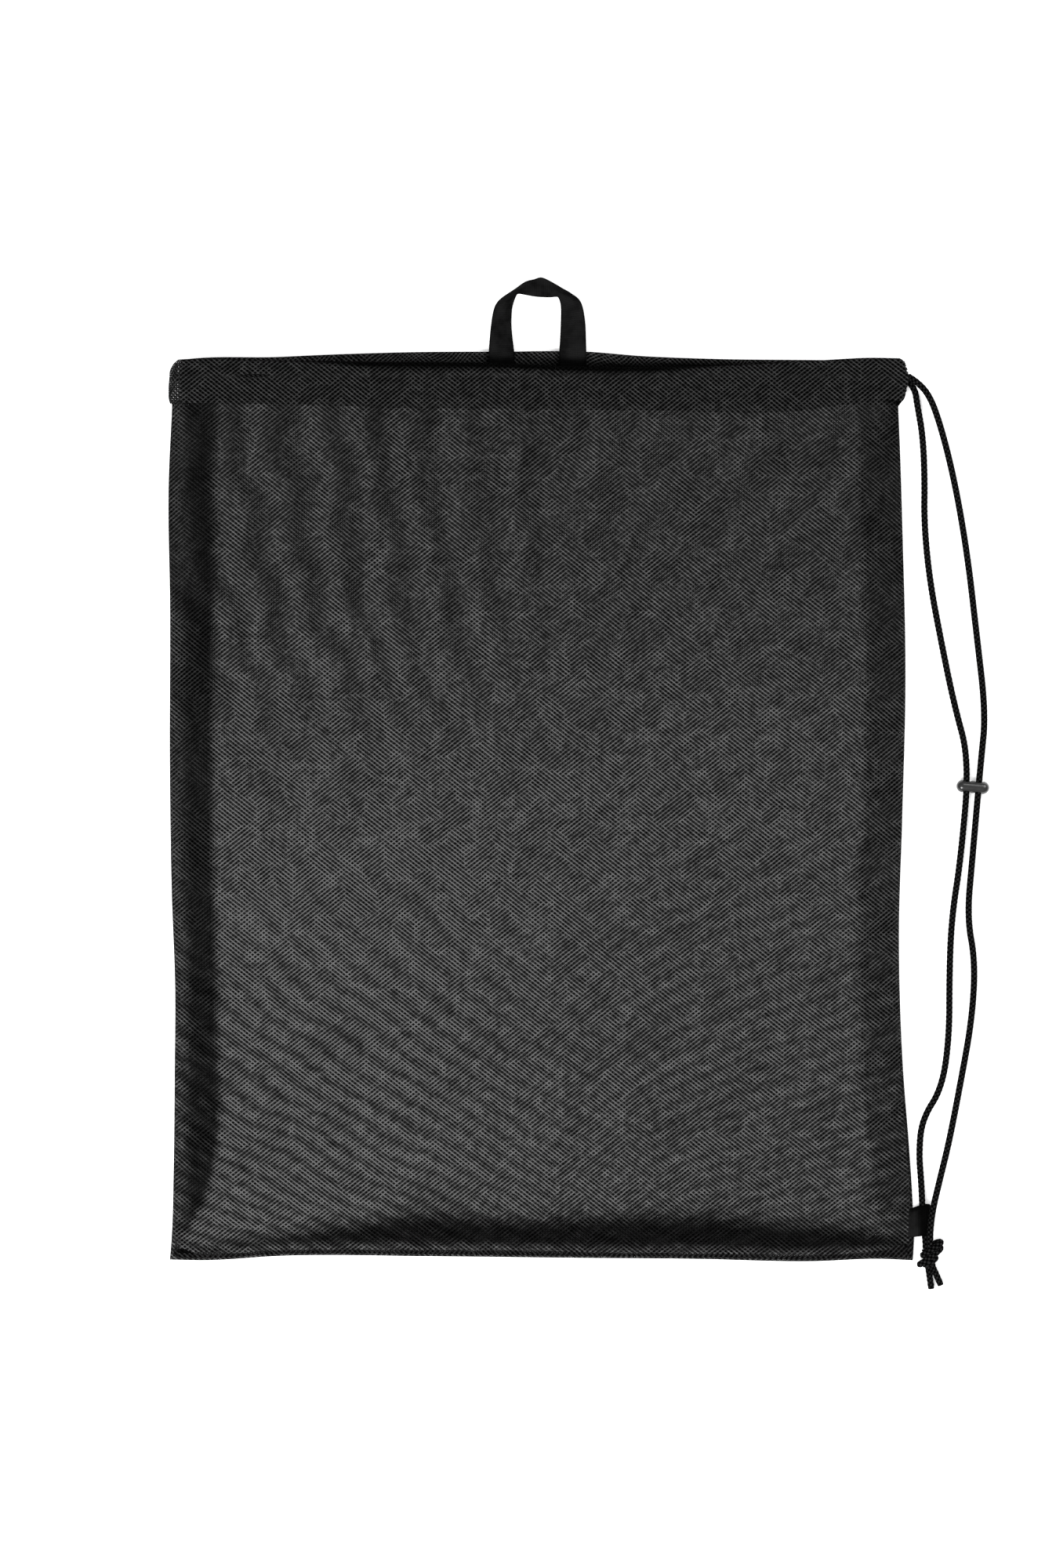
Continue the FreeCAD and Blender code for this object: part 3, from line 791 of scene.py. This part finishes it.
def bottom_allowance(name, layer):
    """Strip of cloth inside the bottom seam."""
    x = np.linspace(-226, 218, 150)[None, :]
    t = np.linspace(0, 1, 11)[:, None]
    y = along(BOTTOM_EDGE, x) + BOTTOM_INSET + (bottom_width(x, layer) - BOTTOM_INSET) * t
    z = BOTTOM_STRIP_HEIGHT + LAYER_STEP * layer + 0.4 * t * (1 + ripple(x, y, 35, 61 + layer))
    points = np.stack([x + 0 * t, y, z], axis=-1)
    uv = lattice(x + 0.9 + 0 * y, y + 1.7 * (layer + 1), 0.45)
    return cloth_grid(name, points, uv, LAYER_PAINTED_SHADES[layer], layer_opening(layer, t))


# Edge, widths, inset and inward direction of each side allowance
SIDES = {
    "left": (LEFT_EDGE, LEFT_ALLOWANCE, LEFT_INSET, 1),
    "right": (RIGHT_EDGE, RIGHT_ALLOWANCE, RIGHT_INSET, -1),
}
allowances = []
for layer in range(2):
    for side, measures in SIDES.items():
        allowances.append(side_allowance(f"{side}_allowance_{layer}", *measures, layer))
    allowances.append(bottom_allowance(f"bottom_allowance_{layer}", layer))

# ---------------- stitching

STITCH_PITCH = 3.1
STITCH_LENGTH = 2.3
STITCH_SIDES = 6
STITCH_RINGS = 5
THREAD_RADIUS = 0.22
# How far a stitch's ends sink into the cloth, and how much higher its middle stands
STITCH_DIP = 0.15
STITCH_BULGE = 0.16
# Distance of the stitching from the hem's edge
STITCH_INSET = 1.7
# Height of the stitching above the middle of the front hem, and above the surface in the back
FRONT_STITCH_RISE = 0.3
BACK_STITCH_HEIGHT = 5.0


def stitch_row(name, path):
    """Row of single stitches along a dense path given in millimetres."""
    distance = distance_along(path)
    angle = np.arange(STITCH_SIDES)[:, None] * TAU / STITCH_SIDES
    vertices, faces = [], []
    for i in range(int(distance[-1] / STITCH_PITCH)):
        faces += [tuple(len(vertices) + k for k in face) for face in capped_faces(STITCH_RINGS, STITCH_SIDES)]
        for t in np.linspace(-0.5, 0.5, STITCH_RINGS):
            start = (i + 0.5) * STITCH_PITCH + t * STITCH_LENGTH
            place = np.array([np.interp(start, distance, axis) for axis in path.T])
            way = np.array([np.interp(start + 0.2, distance, axis) for axis in path.T]) - place
            way /= np.linalg.norm(way)
            side = np.cross(way, (0, 0, 1))
            side /= np.linalg.norm(side)
            up = np.cross(side, way)
            bulge = 1 - 4 * t * t
            radius = THREAD_RADIUS * (0.35 + 0.65 * math.sqrt(max(bulge, 0)))
            centre = place + up * (STITCH_BULGE * bulge - STITCH_DIP)
            vertices += list((centre + radius * (np.cos(angle) * side + np.sin(angle) * up)) * MM)
    return add_object(name, vertices, faces)


def front_hem_path(start, end):
    """Path of the hem stitching on top of the front casing."""
    x = np.linspace(start, end, 160)
    y = along(FRONT_HEM, x) + STITCH_INSET
    return np.stack([x, y, hem_height(x) + FRONT_STITCH_RISE], axis=-1)


def back_hem_path():
    """Path of the hem stitching on the inner face of the back casing."""
    x = np.linspace(-220, 212, 200)
    y = along(BACK_TOP, x) - BACK_HEM_DROP + STITCH_INSET
    return np.stack([x, y, np.full_like(x, BACK_STITCH_HEIGHT)], axis=-1)


front_stitches_left = stitch_row("front_stitches_left", front_hem_path(-222, MIDDLE))
front_stitches_right = stitch_row("front_stitches_right", front_hem_path(MIDDLE, 212))
back_stitches = stitch_row("back_stitches", back_hem_path())

ZIGZAG_STEP = 1.3
ZIGZAG_RADIUS = 0.2
OVERLOCK_PITCH = 1.5
OVERLOCK_INSET = 1.2


def zigzag_thread(name, line):
    """Thin thread through points given in millimetres."""
    vertices = tube_points(line * MM, np.arange(5) * TAU / 5, ZIGZAG_RADIUS * MM)
    return add_object(name, vertices, grid_faces(len(line), 5, wrap=True))


def overlock(name, x, y, height):
    """Zigzag overlock thread along the cut edge of a seam allowance."""
    line = np.stack([x, y, np.full_like(x, height)], axis=-1)
    step = np.where(np.arange(len(line)) % 2 == 0, ZIGZAG_STEP, -ZIGZAG_STEP)
    way = np.gradient(line, axis=0)
    side = np.cross(way / np.linalg.norm(way, axis=1)[:, None], (0, 0, 1))
    return zigzag_thread(name, line + side * step[:, None])


def side_overlock(name, edge, widths, _insets, inward):
    """Overlock along a side allowance."""
    y = np.arange(-286, 212, OVERLOCK_PITCH)
    x = along(edge, y) + inward * (side_width(widths, y, 0) - OVERLOCK_INSET)
    return overlock(name, x, y, 3.6)


def bottom_overlock():
    """Overlock along the bottom allowance."""
    x = np.arange(-212, 204, OVERLOCK_PITCH)
    y = along(BOTTOM_EDGE, x) + bottom_width(x, 0) - OVERLOCK_INSET
    return overlock("bottom_overlock", x, y, 4.9)


left_overlock = side_overlock("left_overlock", *SIDES["left"])
right_overlock = side_overlock("right_overlock", *SIDES["right"])
seam_overlock = bottom_overlock()

# ---------------- hanging loop

# Outer and inner edge of the tape from the left tail round to the right tail, as pairs
# of points measured from the lower outer corner of the CAD model's left tail
LOOP_EDGES = [
    ((-0.4, -0.5), (15.8, -0.5)), ((-0.4, 10.0), (15.6, 10.0)), ((-0.3, 18.0), (15.6, 19.0)),
    ((0.4, 29.0), (14.4, 29.0)), ((1.2, 37.5), (13.7, 38.0)), ((2.7, 46.5), (14.0, 46.5)),
    ((5.0, 51.6), (14.8, 50.5)), ((9.1, 55.4), (16.2, 54.6)), ((15.6, 59.6), (17.7, 56.6)),
    ((22.1, 64.0), (22.6, 56.0)), ((27.6, 65.6), (27.6, 55.1)), ((32.1, 66.7), (32.6, 54.7)),
    ((37.8, 64.2), (37.1, 54.6)), ((44.6, 60.0), (40.6, 54.8)), ((49.8, 57.2), (42.2, 54.2)),
    ((54.8, 53.4), (43.4, 51.0)), ((57.2, 48.0), (43.8, 46.2)), ((58.6, 39.0), (43.6, 38.0)),
    ((59.0, 29.0), (43.2, 29.0)), ((59.3, 18.0), (42.6, 19.0)), ((59.4, 10.0), (42.5, 10.0)),
    ((59.5, -0.5), (42.6, -0.5)),
]
TAPE = 1.2
LOOP_WIDTH = 16
LOOP_HEIGHT = 7.7
LOOP_DROPS_FROM = 251.8
LOOP_DROP = math.tan(math.radians(8.5))


def smooth_rows(rows, steps):
    """Rows of points joined by a smooth curve through them, with more rows between."""
    rows = np.asarray(rows, dtype=float)
    count = len(rows)
    places = np.arange(count)
    fine = np.linspace(0, count - 1, (count - 1) * steps + 1)
    flat = rows.reshape(count, -1)
    columns = [along(np.stack([places, flat[:, k]], axis=-1), fine) for k in range(flat.shape[1])]
    return np.stack(columns, axis=-1).reshape(len(fine), *rows.shape[1:])


def tape_strip(name, points, distance, width, shade):
    """Flat tape with rounded edges from rows of points across it, in millimetres."""
    rows, columns = points.shape[:2]
    along_way = np.gradient(points, axis=0)
    across_way = np.gradient(points, axis=1)
    normal = np.cross(across_way, along_way)
    normal /= np.linalg.norm(normal, axis=2)[:, :, None]
    t = np.linspace(-1, 1, columns)
    half = TAPE / 2 * np.sqrt(np.clip(1 - t**8, 0.05, 1))[None, :, None]
    above = points + normal * half
    below = points - normal * half
    loop = np.concatenate([above, below[:, ::-1]], axis=1)
    thing = add_object(name, loop.reshape(-1, 3) * MM, grid_faces(rows, 2 * columns, wrap=True))
    across = (t + 1) / 2 * width
    u = np.concatenate([across, across[::-1]])[None, :] + 0 * distance[:, None]
    v = distance[:, None] + 0 * u
    set_uv(thing, np.stack([u, v], axis=-1).reshape(-1, 2))
    set_value(thing, "shade", (shade + 0 * u).ravel())
    return thing


def hanging_loop():
    """Loop of tape with soft slanting folds at its two upper corners."""
    edges = smooth_rows(LOOP_EDGES, 9) + LOOP_CORNER
    t = np.linspace(0, 1, 17)[None, :, None]
    plan = edges[:, :1] * (1 - t) + edges[:, 1:] * t
    distance = distance_along(plan[:, 8])
    x, y = plan[..., 0], plan[..., 1]
    z = LOOP_HEIGHT - LOOP_DROP * np.clip(y - LOOP_DROPS_FROM, 0, None)
    across = t[..., 0]
    shares = np.linspace(0, 1, len(edges))[:, None]
    crease = np.exp(-(((shares - 0.385) / 0.03) ** 2)) + np.exp(-(((shares - 0.635) / 0.035) ** 2))
    band = smoothstep(0.37, 0.43, shares) * smoothstep(0.67, 0.6, shares)
    z = z + 1.5 * crease * (0.4 + 0.6 * (1 - across)) + band * (2.2 * (1 - across) - 0.2)
    z = z + 0.25 * np.sin(shares * 31) * smoothstep(256, 262, y)
    points = np.stack([x, y, z], axis=-1)
    # Painted shadow: the tails turn dark where they reach the shadow along the front casing's edge
    tail = smoothstep(253, 247, points[:, 8:9, 1])
    return tape_strip("loop_tape", points, distance, LOOP_WIDTH, 1 - 0.8 * tail)


loop_tape = hanging_loop()


def bar_tack(name, left, right):
    """Dense zigzag of thread across a tail of the loop."""
    count = int((right - left) / TACK_PITCH)
    x = np.linspace(left, right, count)
    y = np.where(np.arange(count) % 2 == 1, TACK_Y + ZIGZAG_STEP, TACK_Y - ZIGZAG_STEP)
    return zigzag_thread(name, np.stack([x, y, np.full_like(x, TACK_HEIGHT)], axis=-1))


TACK_PITCH = 0.35
TACK_Y = 243.5
TACK_HEIGHT = 8.45
tacks = joined("loop_tacks_thread", [bar_tack("tack_left", -34.5, -23.0), bar_tack("tack_right", 8.0, 20.8)])

# ---------------- cord tab

TAB_WIDTH = 17.3
TAB_FOLD_X = 227.6
TAB_FOLD_Z = 3.8
TAB_RADIUS = 3.2
TAB_START = 217.5


def cord_tab():
    """Short tape folded round the left strand, its two ends caught in the side seam."""
    section = []
    for x in np.linspace(TAB_START, TAB_FOLD_X, 14):
        section.append((x, 1.2 - 0.6 * smoothstep(TAB_START, 226, x)))
    for angle in np.linspace(-math.pi / 2, math.pi / 2, 15)[1:-1]:
        reach, rise = TAB_RADIUS * math.cos(angle), TAB_RADIUS * math.sin(angle)
        section.append((TAB_FOLD_X + reach, TAB_FOLD_Z + rise))
    for x in np.linspace(TAB_FOLD_X, TAB_START, 14):
        section.append((x, 2.4 + (TAB_FOLD_Z + TAB_RADIUS - 2.4) * smoothstep(TAB_START, 226.5, x)))
    section = np.array(section)
    t = np.linspace(0, 1, 13)[None, :]
    x = section[:, 0][:, None]
    slant = smoothstep(218, 230, x)
    y = TAB_LOW + 1.8 * slant + (TAB_WIDTH + 1.2 * slant) * t
    z = section[:, 1][:, None] + 0 * t
    points = np.stack([x + (1.5 - 0.5 * t) * smoothstep(221, 231, x), y, z], axis=-1)
    # Painted light on the tab's flat part and painted shade over its fold
    shade = 1.5 - 1.4 * smoothstep(222.0, 226.0, x)
    return tape_strip("tab_tape", points, distance_along(section), 17, shade)


tab_tape = cord_tab()
tab_path = np.stack([np.full(30, 224.0), np.linspace(-282.6, -268.6, 30), np.full(30, 6.4)], axis=-1)
tab_stitches = stitch_row("tab_stitches", tab_path)

# ---------------- bead


BEAD_LENGTH = 20.0
BEAD_RADIUS = 3.8
BEAD_SIDES = 48
# Holes for the strands as (distance from the middle, radius) pairs, flared at both ends
HOLE_PROFILE = [
    (-5.0, 3.2), (-3.9, 2.95), (-3.1, 2.6), (-2.0, 2.5), (2.0, 2.5), (3.1, 2.6), (3.9, 2.95), (5.0, 3.2),
]
HOLE_SIDES = 40


def made_solid(thing):
    """The same object with doubled points merged and all faces turned outward."""
    tidy = bmesh.new()
    tidy.from_mesh(thing.data)
    bmesh.ops.remove_doubles(tidy, verts=tidy.verts, dist=1e-6)
    bmesh.ops.recalc_face_normals(tidy, faces=tidy.faces)
    tidy.to_mesh(thing.data)
    tidy.free()
    return thing


def hole_cutter(x):
    """Flared round cutter along Y."""
    vertices = []
    for y, radius in HOLE_PROFILE:
        for i in range(HOLE_SIDES):
            a = TAU * i / HOLE_SIDES
            vertices.append(((x + radius * math.cos(a)) * MM, y * MM, radius * math.sin(a) * MM))
    return made_solid(add_object("cutter", vertices, capped_faces(len(HOLE_PROFILE), HOLE_SIDES)))


def bead():
    """Round-ended bead with two flared holes, finer than its collision shape."""
    half = BEAD_LENGTH / 2 - BEAD_RADIUS
    rings = []
    for angle in np.linspace(-math.pi / 2, 0, 12):
        rings.append((-half + BEAD_RADIUS * math.sin(angle), BEAD_RADIUS * math.cos(angle)))
    for x in np.linspace(-half, half, 30)[1:-1]:
        rings.append((x, BEAD_RADIUS))
    for angle in np.linspace(0, math.pi / 2, 12):
        rings.append((half + BEAD_RADIUS * math.sin(angle), BEAD_RADIUS * math.cos(angle)))
    angle = np.arange(BEAD_SIDES) * TAU / BEAD_SIDES
    vertices = []
    for x, radius in rings:
        ridge = radius * (1 + 0.012 * np.cos(6 * angle))
        ring = [np.full_like(angle, x), ridge * np.cos(angle), ridge * np.sin(angle)]
        vertices += list(np.stack(ring, axis=-1) * MM)
    body = made_solid(add_object("bead", vertices, grid_faces(len(rings), BEAD_SIDES, wrap=True)))
    for side in (-1, 1):
        cutter = hole_cutter(side * STRAND_SPACING / 2)
        cut = body.modifiers.new("hole", "BOOLEAN")
        cut.operation = "DIFFERENCE"
        cut.solver = "EXACT"
        cut.object = cutter
        bpy.context.view_layer.objects.active = body
        bpy.ops.object.modifier_apply(modifier=cut.name)
        bpy.data.objects.remove(cutter)
    body.rotation_euler = (0, 0, BEAD_TURN)
    body.location = BEAD * MM
    bpy.context.view_layer.update()
    body.data.transform(body.matrix_world)
    body.matrix_world.identity()
    for polygon in body.data.polygons:
        polygon.use_smooth = True
    return body


bead_body = bead()

# ---------------- materials


class Shader:
    """Small helper that builds one material's nodes."""

    def __init__(self, name):
        self.material = bpy.data.materials.new(name)
        self.material.use_nodes = True
        self.tree = self.material.node_tree
        self.surface = self.tree.nodes["Principled BSDF"]

    def node(self, kind, **settings):
        made = self.tree.nodes.new(kind)
        for key, value in settings.items():
            setattr(made, key, value)
        return made

    def plug(self, value, socket):
        if isinstance(value, bpy.types.NodeSocket):
            self.tree.links.new(value, socket)
        else:
            socket.default_value = value

    def math(self, operation, *values):
        made = self.node("ShaderNodeMath", operation=operation)
        for value, socket in zip(values, made.inputs):
            self.plug(value, socket)
        return made.outputs[0]

    def times(self, first, *others):
        for value in others:
            first = self.math("MULTIPLY", first, value)
        return first

    def plus(self, first, *others):
        for value in others:
            first = self.math("ADD", first, value)
        return first

    def swing(self, noise, size):
        """Noise turned into a value that swings about 0."""
        return self.times(self.plus(noise, -0.5), size)

    def value(self, name):
        return self.node("ShaderNodeAttribute", attribute_name=name).outputs["Fac"]

    def place(self):
        return self.node("ShaderNodeTexCoord").outputs["Object"]

    def cloth_uv(self):
        uv = self.node("ShaderNodeUVMap", uv_map="Cloth")
        split = self.node("ShaderNodeSeparateXYZ")
        self.plug(uv.outputs[0], split.inputs[0])
        return uv.outputs[0], split.outputs[0], split.outputs[1]

    def noise(self, vector, scale, detail=2.0, rough=0.5):
        made = self.node("ShaderNodeTexNoise")
        self.plug(vector, made.inputs["Vector"])
        made.inputs["Scale"].default_value = scale
        made.inputs["Detail"].default_value = detail
        made.inputs["Roughness"].default_value = rough
        return made.outputs["Fac"]

    def range(self, value, low, high, out_low, out_high, kind="LINEAR"):
        made = self.node("ShaderNodeMapRange", interpolation_type=kind)
        for item, socket in zip((value, low, high, out_low, out_high), made.inputs):
            self.plug(item, socket)
        return made.outputs[0]

    def step(self, value, low, high, out_low=0.0, out_high=1.0):
        """Like range, with soft ends."""
        return self.range(value, low, high, out_low, out_high, "SMOOTHSTEP")

    def mix(self, share, first, second):
        made = self.node("ShaderNodeMix", data_type="RGBA")
        self.plug(share, made.inputs[0])
        self.plug(first, made.inputs[6])
        self.plug(second, made.inputs[7])
        return made.outputs[2]

    def bump(self, height, distance):
        made = self.node("ShaderNodeBump")
        made.inputs["Distance"].default_value = distance
        self.plug(height, made.inputs["Height"])
        self.plug(made.outputs[0], self.surface.inputs["Normal"])

    def set(self, **sockets):
        for key, value in sockets.items():
            self.plug(value, self.surface.inputs[key.replace("_", " ")])


def grey(level):
    """Neutral colour."""
    return (level, level, level, 1)


# Softness of the holes' edges
HOLE_SOFTNESS = 0.22
# Size and least weight of the patches in which one run of threads stands out
LEAN_SCALE = 0.045
LEAN_LEAST = 0.3


def mesh_cloth(name, light, hole):
    """Knitted mesh: threads along both diagonals of the cell, with rounded holes between."""
    s = Shader(name)
    vector, u, v = s.cloth_uv()
    wander = s.swing(s.noise(vector, 0.35, 1.0), 0.16)
    across = s.plus(s.math("DIVIDE", u, CELL_ACROSS), wander)
    up = s.math("DIVIDE", v, CELL_UP)
    rising = s.math("COSINE", s.times(s.plus(across, up), TAU))
    falling = s.math("COSINE", s.times(s.math("SUBTRACT", across, up), TAU))
    gap = s.plus(s.times(s.math("MINIMUM", rising, falling), 0.6), s.times(s.plus(rising, falling), 0.2))
    gap = s.plus(gap, s.value("opening"), s.swing(s.noise(vector, 2.2, 1.0), 0.35))
    solid = s.step(gap, hole - HOLE_SOFTNESS, hole + HOLE_SOFTNESS, 1.0, 0.0)
    first = s.step(rising, 0.35, -0.95)
    second = s.step(falling, 0.35, -0.95)
    lean = s.noise(vector, LEAN_SCALE, 1.0, 0.4)
    crown = s.math(
        "MAXIMUM",
        s.times(first, s.step(lean, 0.44, 0.52, LEAN_LEAST, 1.0)),
        s.times(second, s.step(lean, 0.48, 0.56, 1.0, LEAN_LEAST)),
    )
    fibre = s.noise(vector, 5.5, 3.0, 0.7)
    # Painted light and shade: threads lighter along their middles and lightest where they cross, darker
    # towards the holes; the shade value brings in more painted light and shade
    level = s.times(
        s.plus(s.times(crown, 0.65), s.times(first, second, 0.35)),
        s.range(s.noise(vector, 0.24, 2.0, 0.6), 0.3, 0.7, 0.55, 1.5),
        s.range(fibre, 0.3, 0.7, 0.6, 1.25),
        s.range(s.noise(vector, 0.045, 3.0, 0.6), 0.3, 0.7, 0.49, 0.71),
        s.value("shade"),
    )
    s.set(Base_Color=s.mix(level, grey(0.0003), grey(light)), Alpha=solid, Specular_IOR_Level=0.01)
    s.set(Roughness=s.range(fibre, 0.2, 0.8, 0.55, 0.8))
    s.bump(s.plus(crown, s.times(fibre, 0.35)), 0.35 * MM)
    return s.material


def braided_cord(name):
    """Braided polyester: painted shade between the strands and painted glints on their crowns, fine yarn
    lines on them.
    """
    s = Shader(name)
    vector, u, v = s.cloth_uv()
    yarn = s.math("SINE", s.times(s.plus(u, v), 11.0))
    fibre = s.noise(vector, 3.2, 3.0, 0.65)
    # Painted glints: the colour is lightest only on the highest parts of the braid
    level = s.times(
        s.step(s.value("height"), 0.58, 1.0),
        s.range(fibre, 0.3, 0.7, 0.5, 1.3),
        s.range(s.noise(vector, 0.12, 2.0), 0.3, 0.7, 0.85, 1.15),
    )
    s.set(Base_Color=s.mix(level, grey(0.0002), grey(0.018)), Specular_IOR_Level=0.004)
    s.set(Roughness=s.range(fibre, 0.2, 0.8, 0.4, 0.6))
    s.bump(s.plus(s.times(yarn, 0.3), fibre), 0.12 * MM)
    return s.material


def woven_tape(name):
    """Ribbed woven tape, with painted shade in the grooves between ribs, darker along both edges."""
    s = Shader(name)
    vector, u, v = s.cloth_uv()
    rib = s.math("SINE", s.times(v, TAU / 0.85))
    column = s.math("SINE", s.times(u, TAU / 1.0))
    weave = s.times(rib, s.range(column, -1.0, 1.0, 0.35, 1.0))
    edge = s.math("ABSOLUTE", s.plus(u, -8.0))
    fibre = s.noise(vector, 2.4, 3.0, 0.7)
    # Painted shade in the rib grooves; the shade value carries painted light and shade
    level = s.times(
        s.range(weave, -1.0, 1.0, 0.35, 1.0),
        s.range(fibre, 0.3, 0.7, 0.7, 1.2),
        s.range(s.noise(vector, 0.06, 3.0, 0.6), 0.35, 0.65, 0.25, 1.7),
        s.step(edge, 6.6, 7.4, 1.0, 0.62),
        s.value("shade"),
    )
    s.set(Base_Color=s.mix(level, grey(0.0004), grey(0.009)), Specular_IOR_Level=0.01)
    s.set(Roughness=s.range(fibre, 0.2, 0.8, 0.6, 0.8))
    s.bump(s.plus(weave, s.times(fibre, 0.4)), 0.1 * MM)
    return s.material


def sewing_thread(name):
    """Plain black thread with a faint twist."""
    s = Shader(name)
    fibre = s.noise(s.place(), 1500.0, 2.0)
    s.set(Base_Color=s.mix(fibre, grey(0.002), grey(0.012)), Specular_IOR_Level=0.06)
    s.set(Roughness=s.range(fibre, 0.2, 0.8, 0.45, 0.7))
    s.bump(fibre, 0.05 * MM)
    return s.material


def moulded_plastic(name):
    """Glossy dark grey plastic with faint handling scuffs."""
    s = Shader(name)
    place = s.place()
    scuff = s.noise(place, 160.0, 4.0, 0.7)
    s.set(Base_Color=s.mix(scuff, grey(0.008), grey(0.014)), Specular_IOR_Level=0.45)
    s.set(Roughness=s.range(scuff, 0.35, 0.75, 0.2, 0.36), Coat_Weight=0.25, Coat_Roughness=0.15)
    s.bump(s.noise(place, 900.0, 3.0), 0.02 * MM)
    return s.material


def pale_floor(name):
    """Plain white surface."""
    s = Shader(name)
    s.set(Base_Color=s.mix(s.noise(s.place(), 30.0), grey(0.86), grey(0.88)), Roughness=0.9)
    s.set(Specular_IOR_Level=0.1, Emission_Color=grey(1), Emission_Strength=0.42)
    return s.material


MESH = mesh_cloth("mesh", 0.1, -0.08)
HEM = mesh_cloth("casing", 0.06, -0.04)
CORD_BRAID = braided_cord("cord")
TAPE_WEAVE = woven_tape("webbing")
THREAD = sewing_thread("thread")
PLASTIC = moulded_plastic("bead")


def dress(slot, material, *things):
    """Gives pieces their material; slot is not used."""
    for thing in things:
        thing.data.materials.clear()
        thing.data.materials.append(material)


dress("mesh", MESH, front_left, front_right, back_mesh, *allowances)
dress("casing", HEM, casing_left, casing_right, casing_back, casing_fold)
dress(
    "cord", CORD_BRAID, left_strand, right_strand, knot, back_run, cord_turn, front_run_left, front_run_right,
)
dress("webbing", TAPE_WEAVE, loop_tape, tab_tape)
dress(
    "thread", THREAD, front_stitches_left, front_stitches_right, back_stitches, tacks, tab_stitches,
    left_overlock, right_overlock, seam_overlock,
)
dress("bead", PLASTIC, bead_body)

# ---------------- riding, and hiding the CAD parts

for thing in (left_strand, right_strand, knot, back_run, cord_turn, back_mesh, casing_back, casing_fold,
              back_stitches, tacks, tab_tape, tab_stitches, left_overlock, right_overlock, seam_overlock,
              *allowances):
    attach(thing, "bag")
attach(bead_body, "stopper")

# The front layer's pieces and the loop have their placement applied to their points.
for thing in (front_left, casing_left, front_stitches_left, front_run_left):
    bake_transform(thing)
for thing in (front_right, casing_right, front_stitches_right, front_run_right):
    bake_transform(thing)
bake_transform(loop_tape)

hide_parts("front_panel")
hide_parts("back_panel")
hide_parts("front_casing")
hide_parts("back_casing")
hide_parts("casing_turn")
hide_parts("left_seam_allowance")
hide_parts("right_seam_allowance")
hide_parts("bottom_seam_allowance")
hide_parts("left_seam_thread")
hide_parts("right_seam_thread")
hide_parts("bottom_seam_thread")
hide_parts("front_hem_thread")
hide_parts("back_hem_thread")
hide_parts("hanging_loop", "loop_left_tail", "loop_right_tail")
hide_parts("loop_tacks")
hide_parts("cord_tab")
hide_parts("tab_stitch")
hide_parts("drawcord_left_strand")
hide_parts("drawcord_right_strand")
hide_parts("cord_knot")
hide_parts("drawcord_back_run")
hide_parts("drawcord_turn")
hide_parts("drawcord_front_run")
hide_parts("cord_stopper")

# ---------------- floor and light


def add_floor():
    """Large white surface under the bag."""
    half = 4.0
    corners = [(-half, -half, 0), (half, -half, 0), (half, half, 0), (-half, half, 0)]
    floor = add_object("floor", corners, [(0, 1, 2, 3)], smooth=False)
    floor.data.materials.append(pale_floor("floor"))


def add_lamp(name, place, size, power):
    """Square soft light that faces the middle of the bag."""
    data = bpy.data.lights.new(name, "AREA")
    data.shape = "SQUARE"
    data.size = size
    data.energy = power
    lamp = bpy.data.objects.new(name, data)
    lamp.location = place
    lamp.rotation_euler = (-Vector(place)).to_track_quat("-Z", "Y").to_euler()
    bpy.context.collection.objects.link(lamp)


def add_world(strength):
    """Even pale surroundings."""
    world = bpy.data.worlds.new("studio")
    bpy.context.scene.world = world
    world.use_nodes = True
    world.node_tree.nodes["Background"].inputs["Color"].default_value = (1, 1, 1, 1)
    world.node_tree.nodes["Background"].inputs["Strength"].default_value = strength


add_floor()
add_lamp("key", (-1.0, -1.4, 2.5), 1.3, 115)
add_lamp("fill", (1.7, 1.3, 2.4), 2.0, 60)
add_world(0.45)
bpy.context.scene.view_settings.view_transform = "Standard"
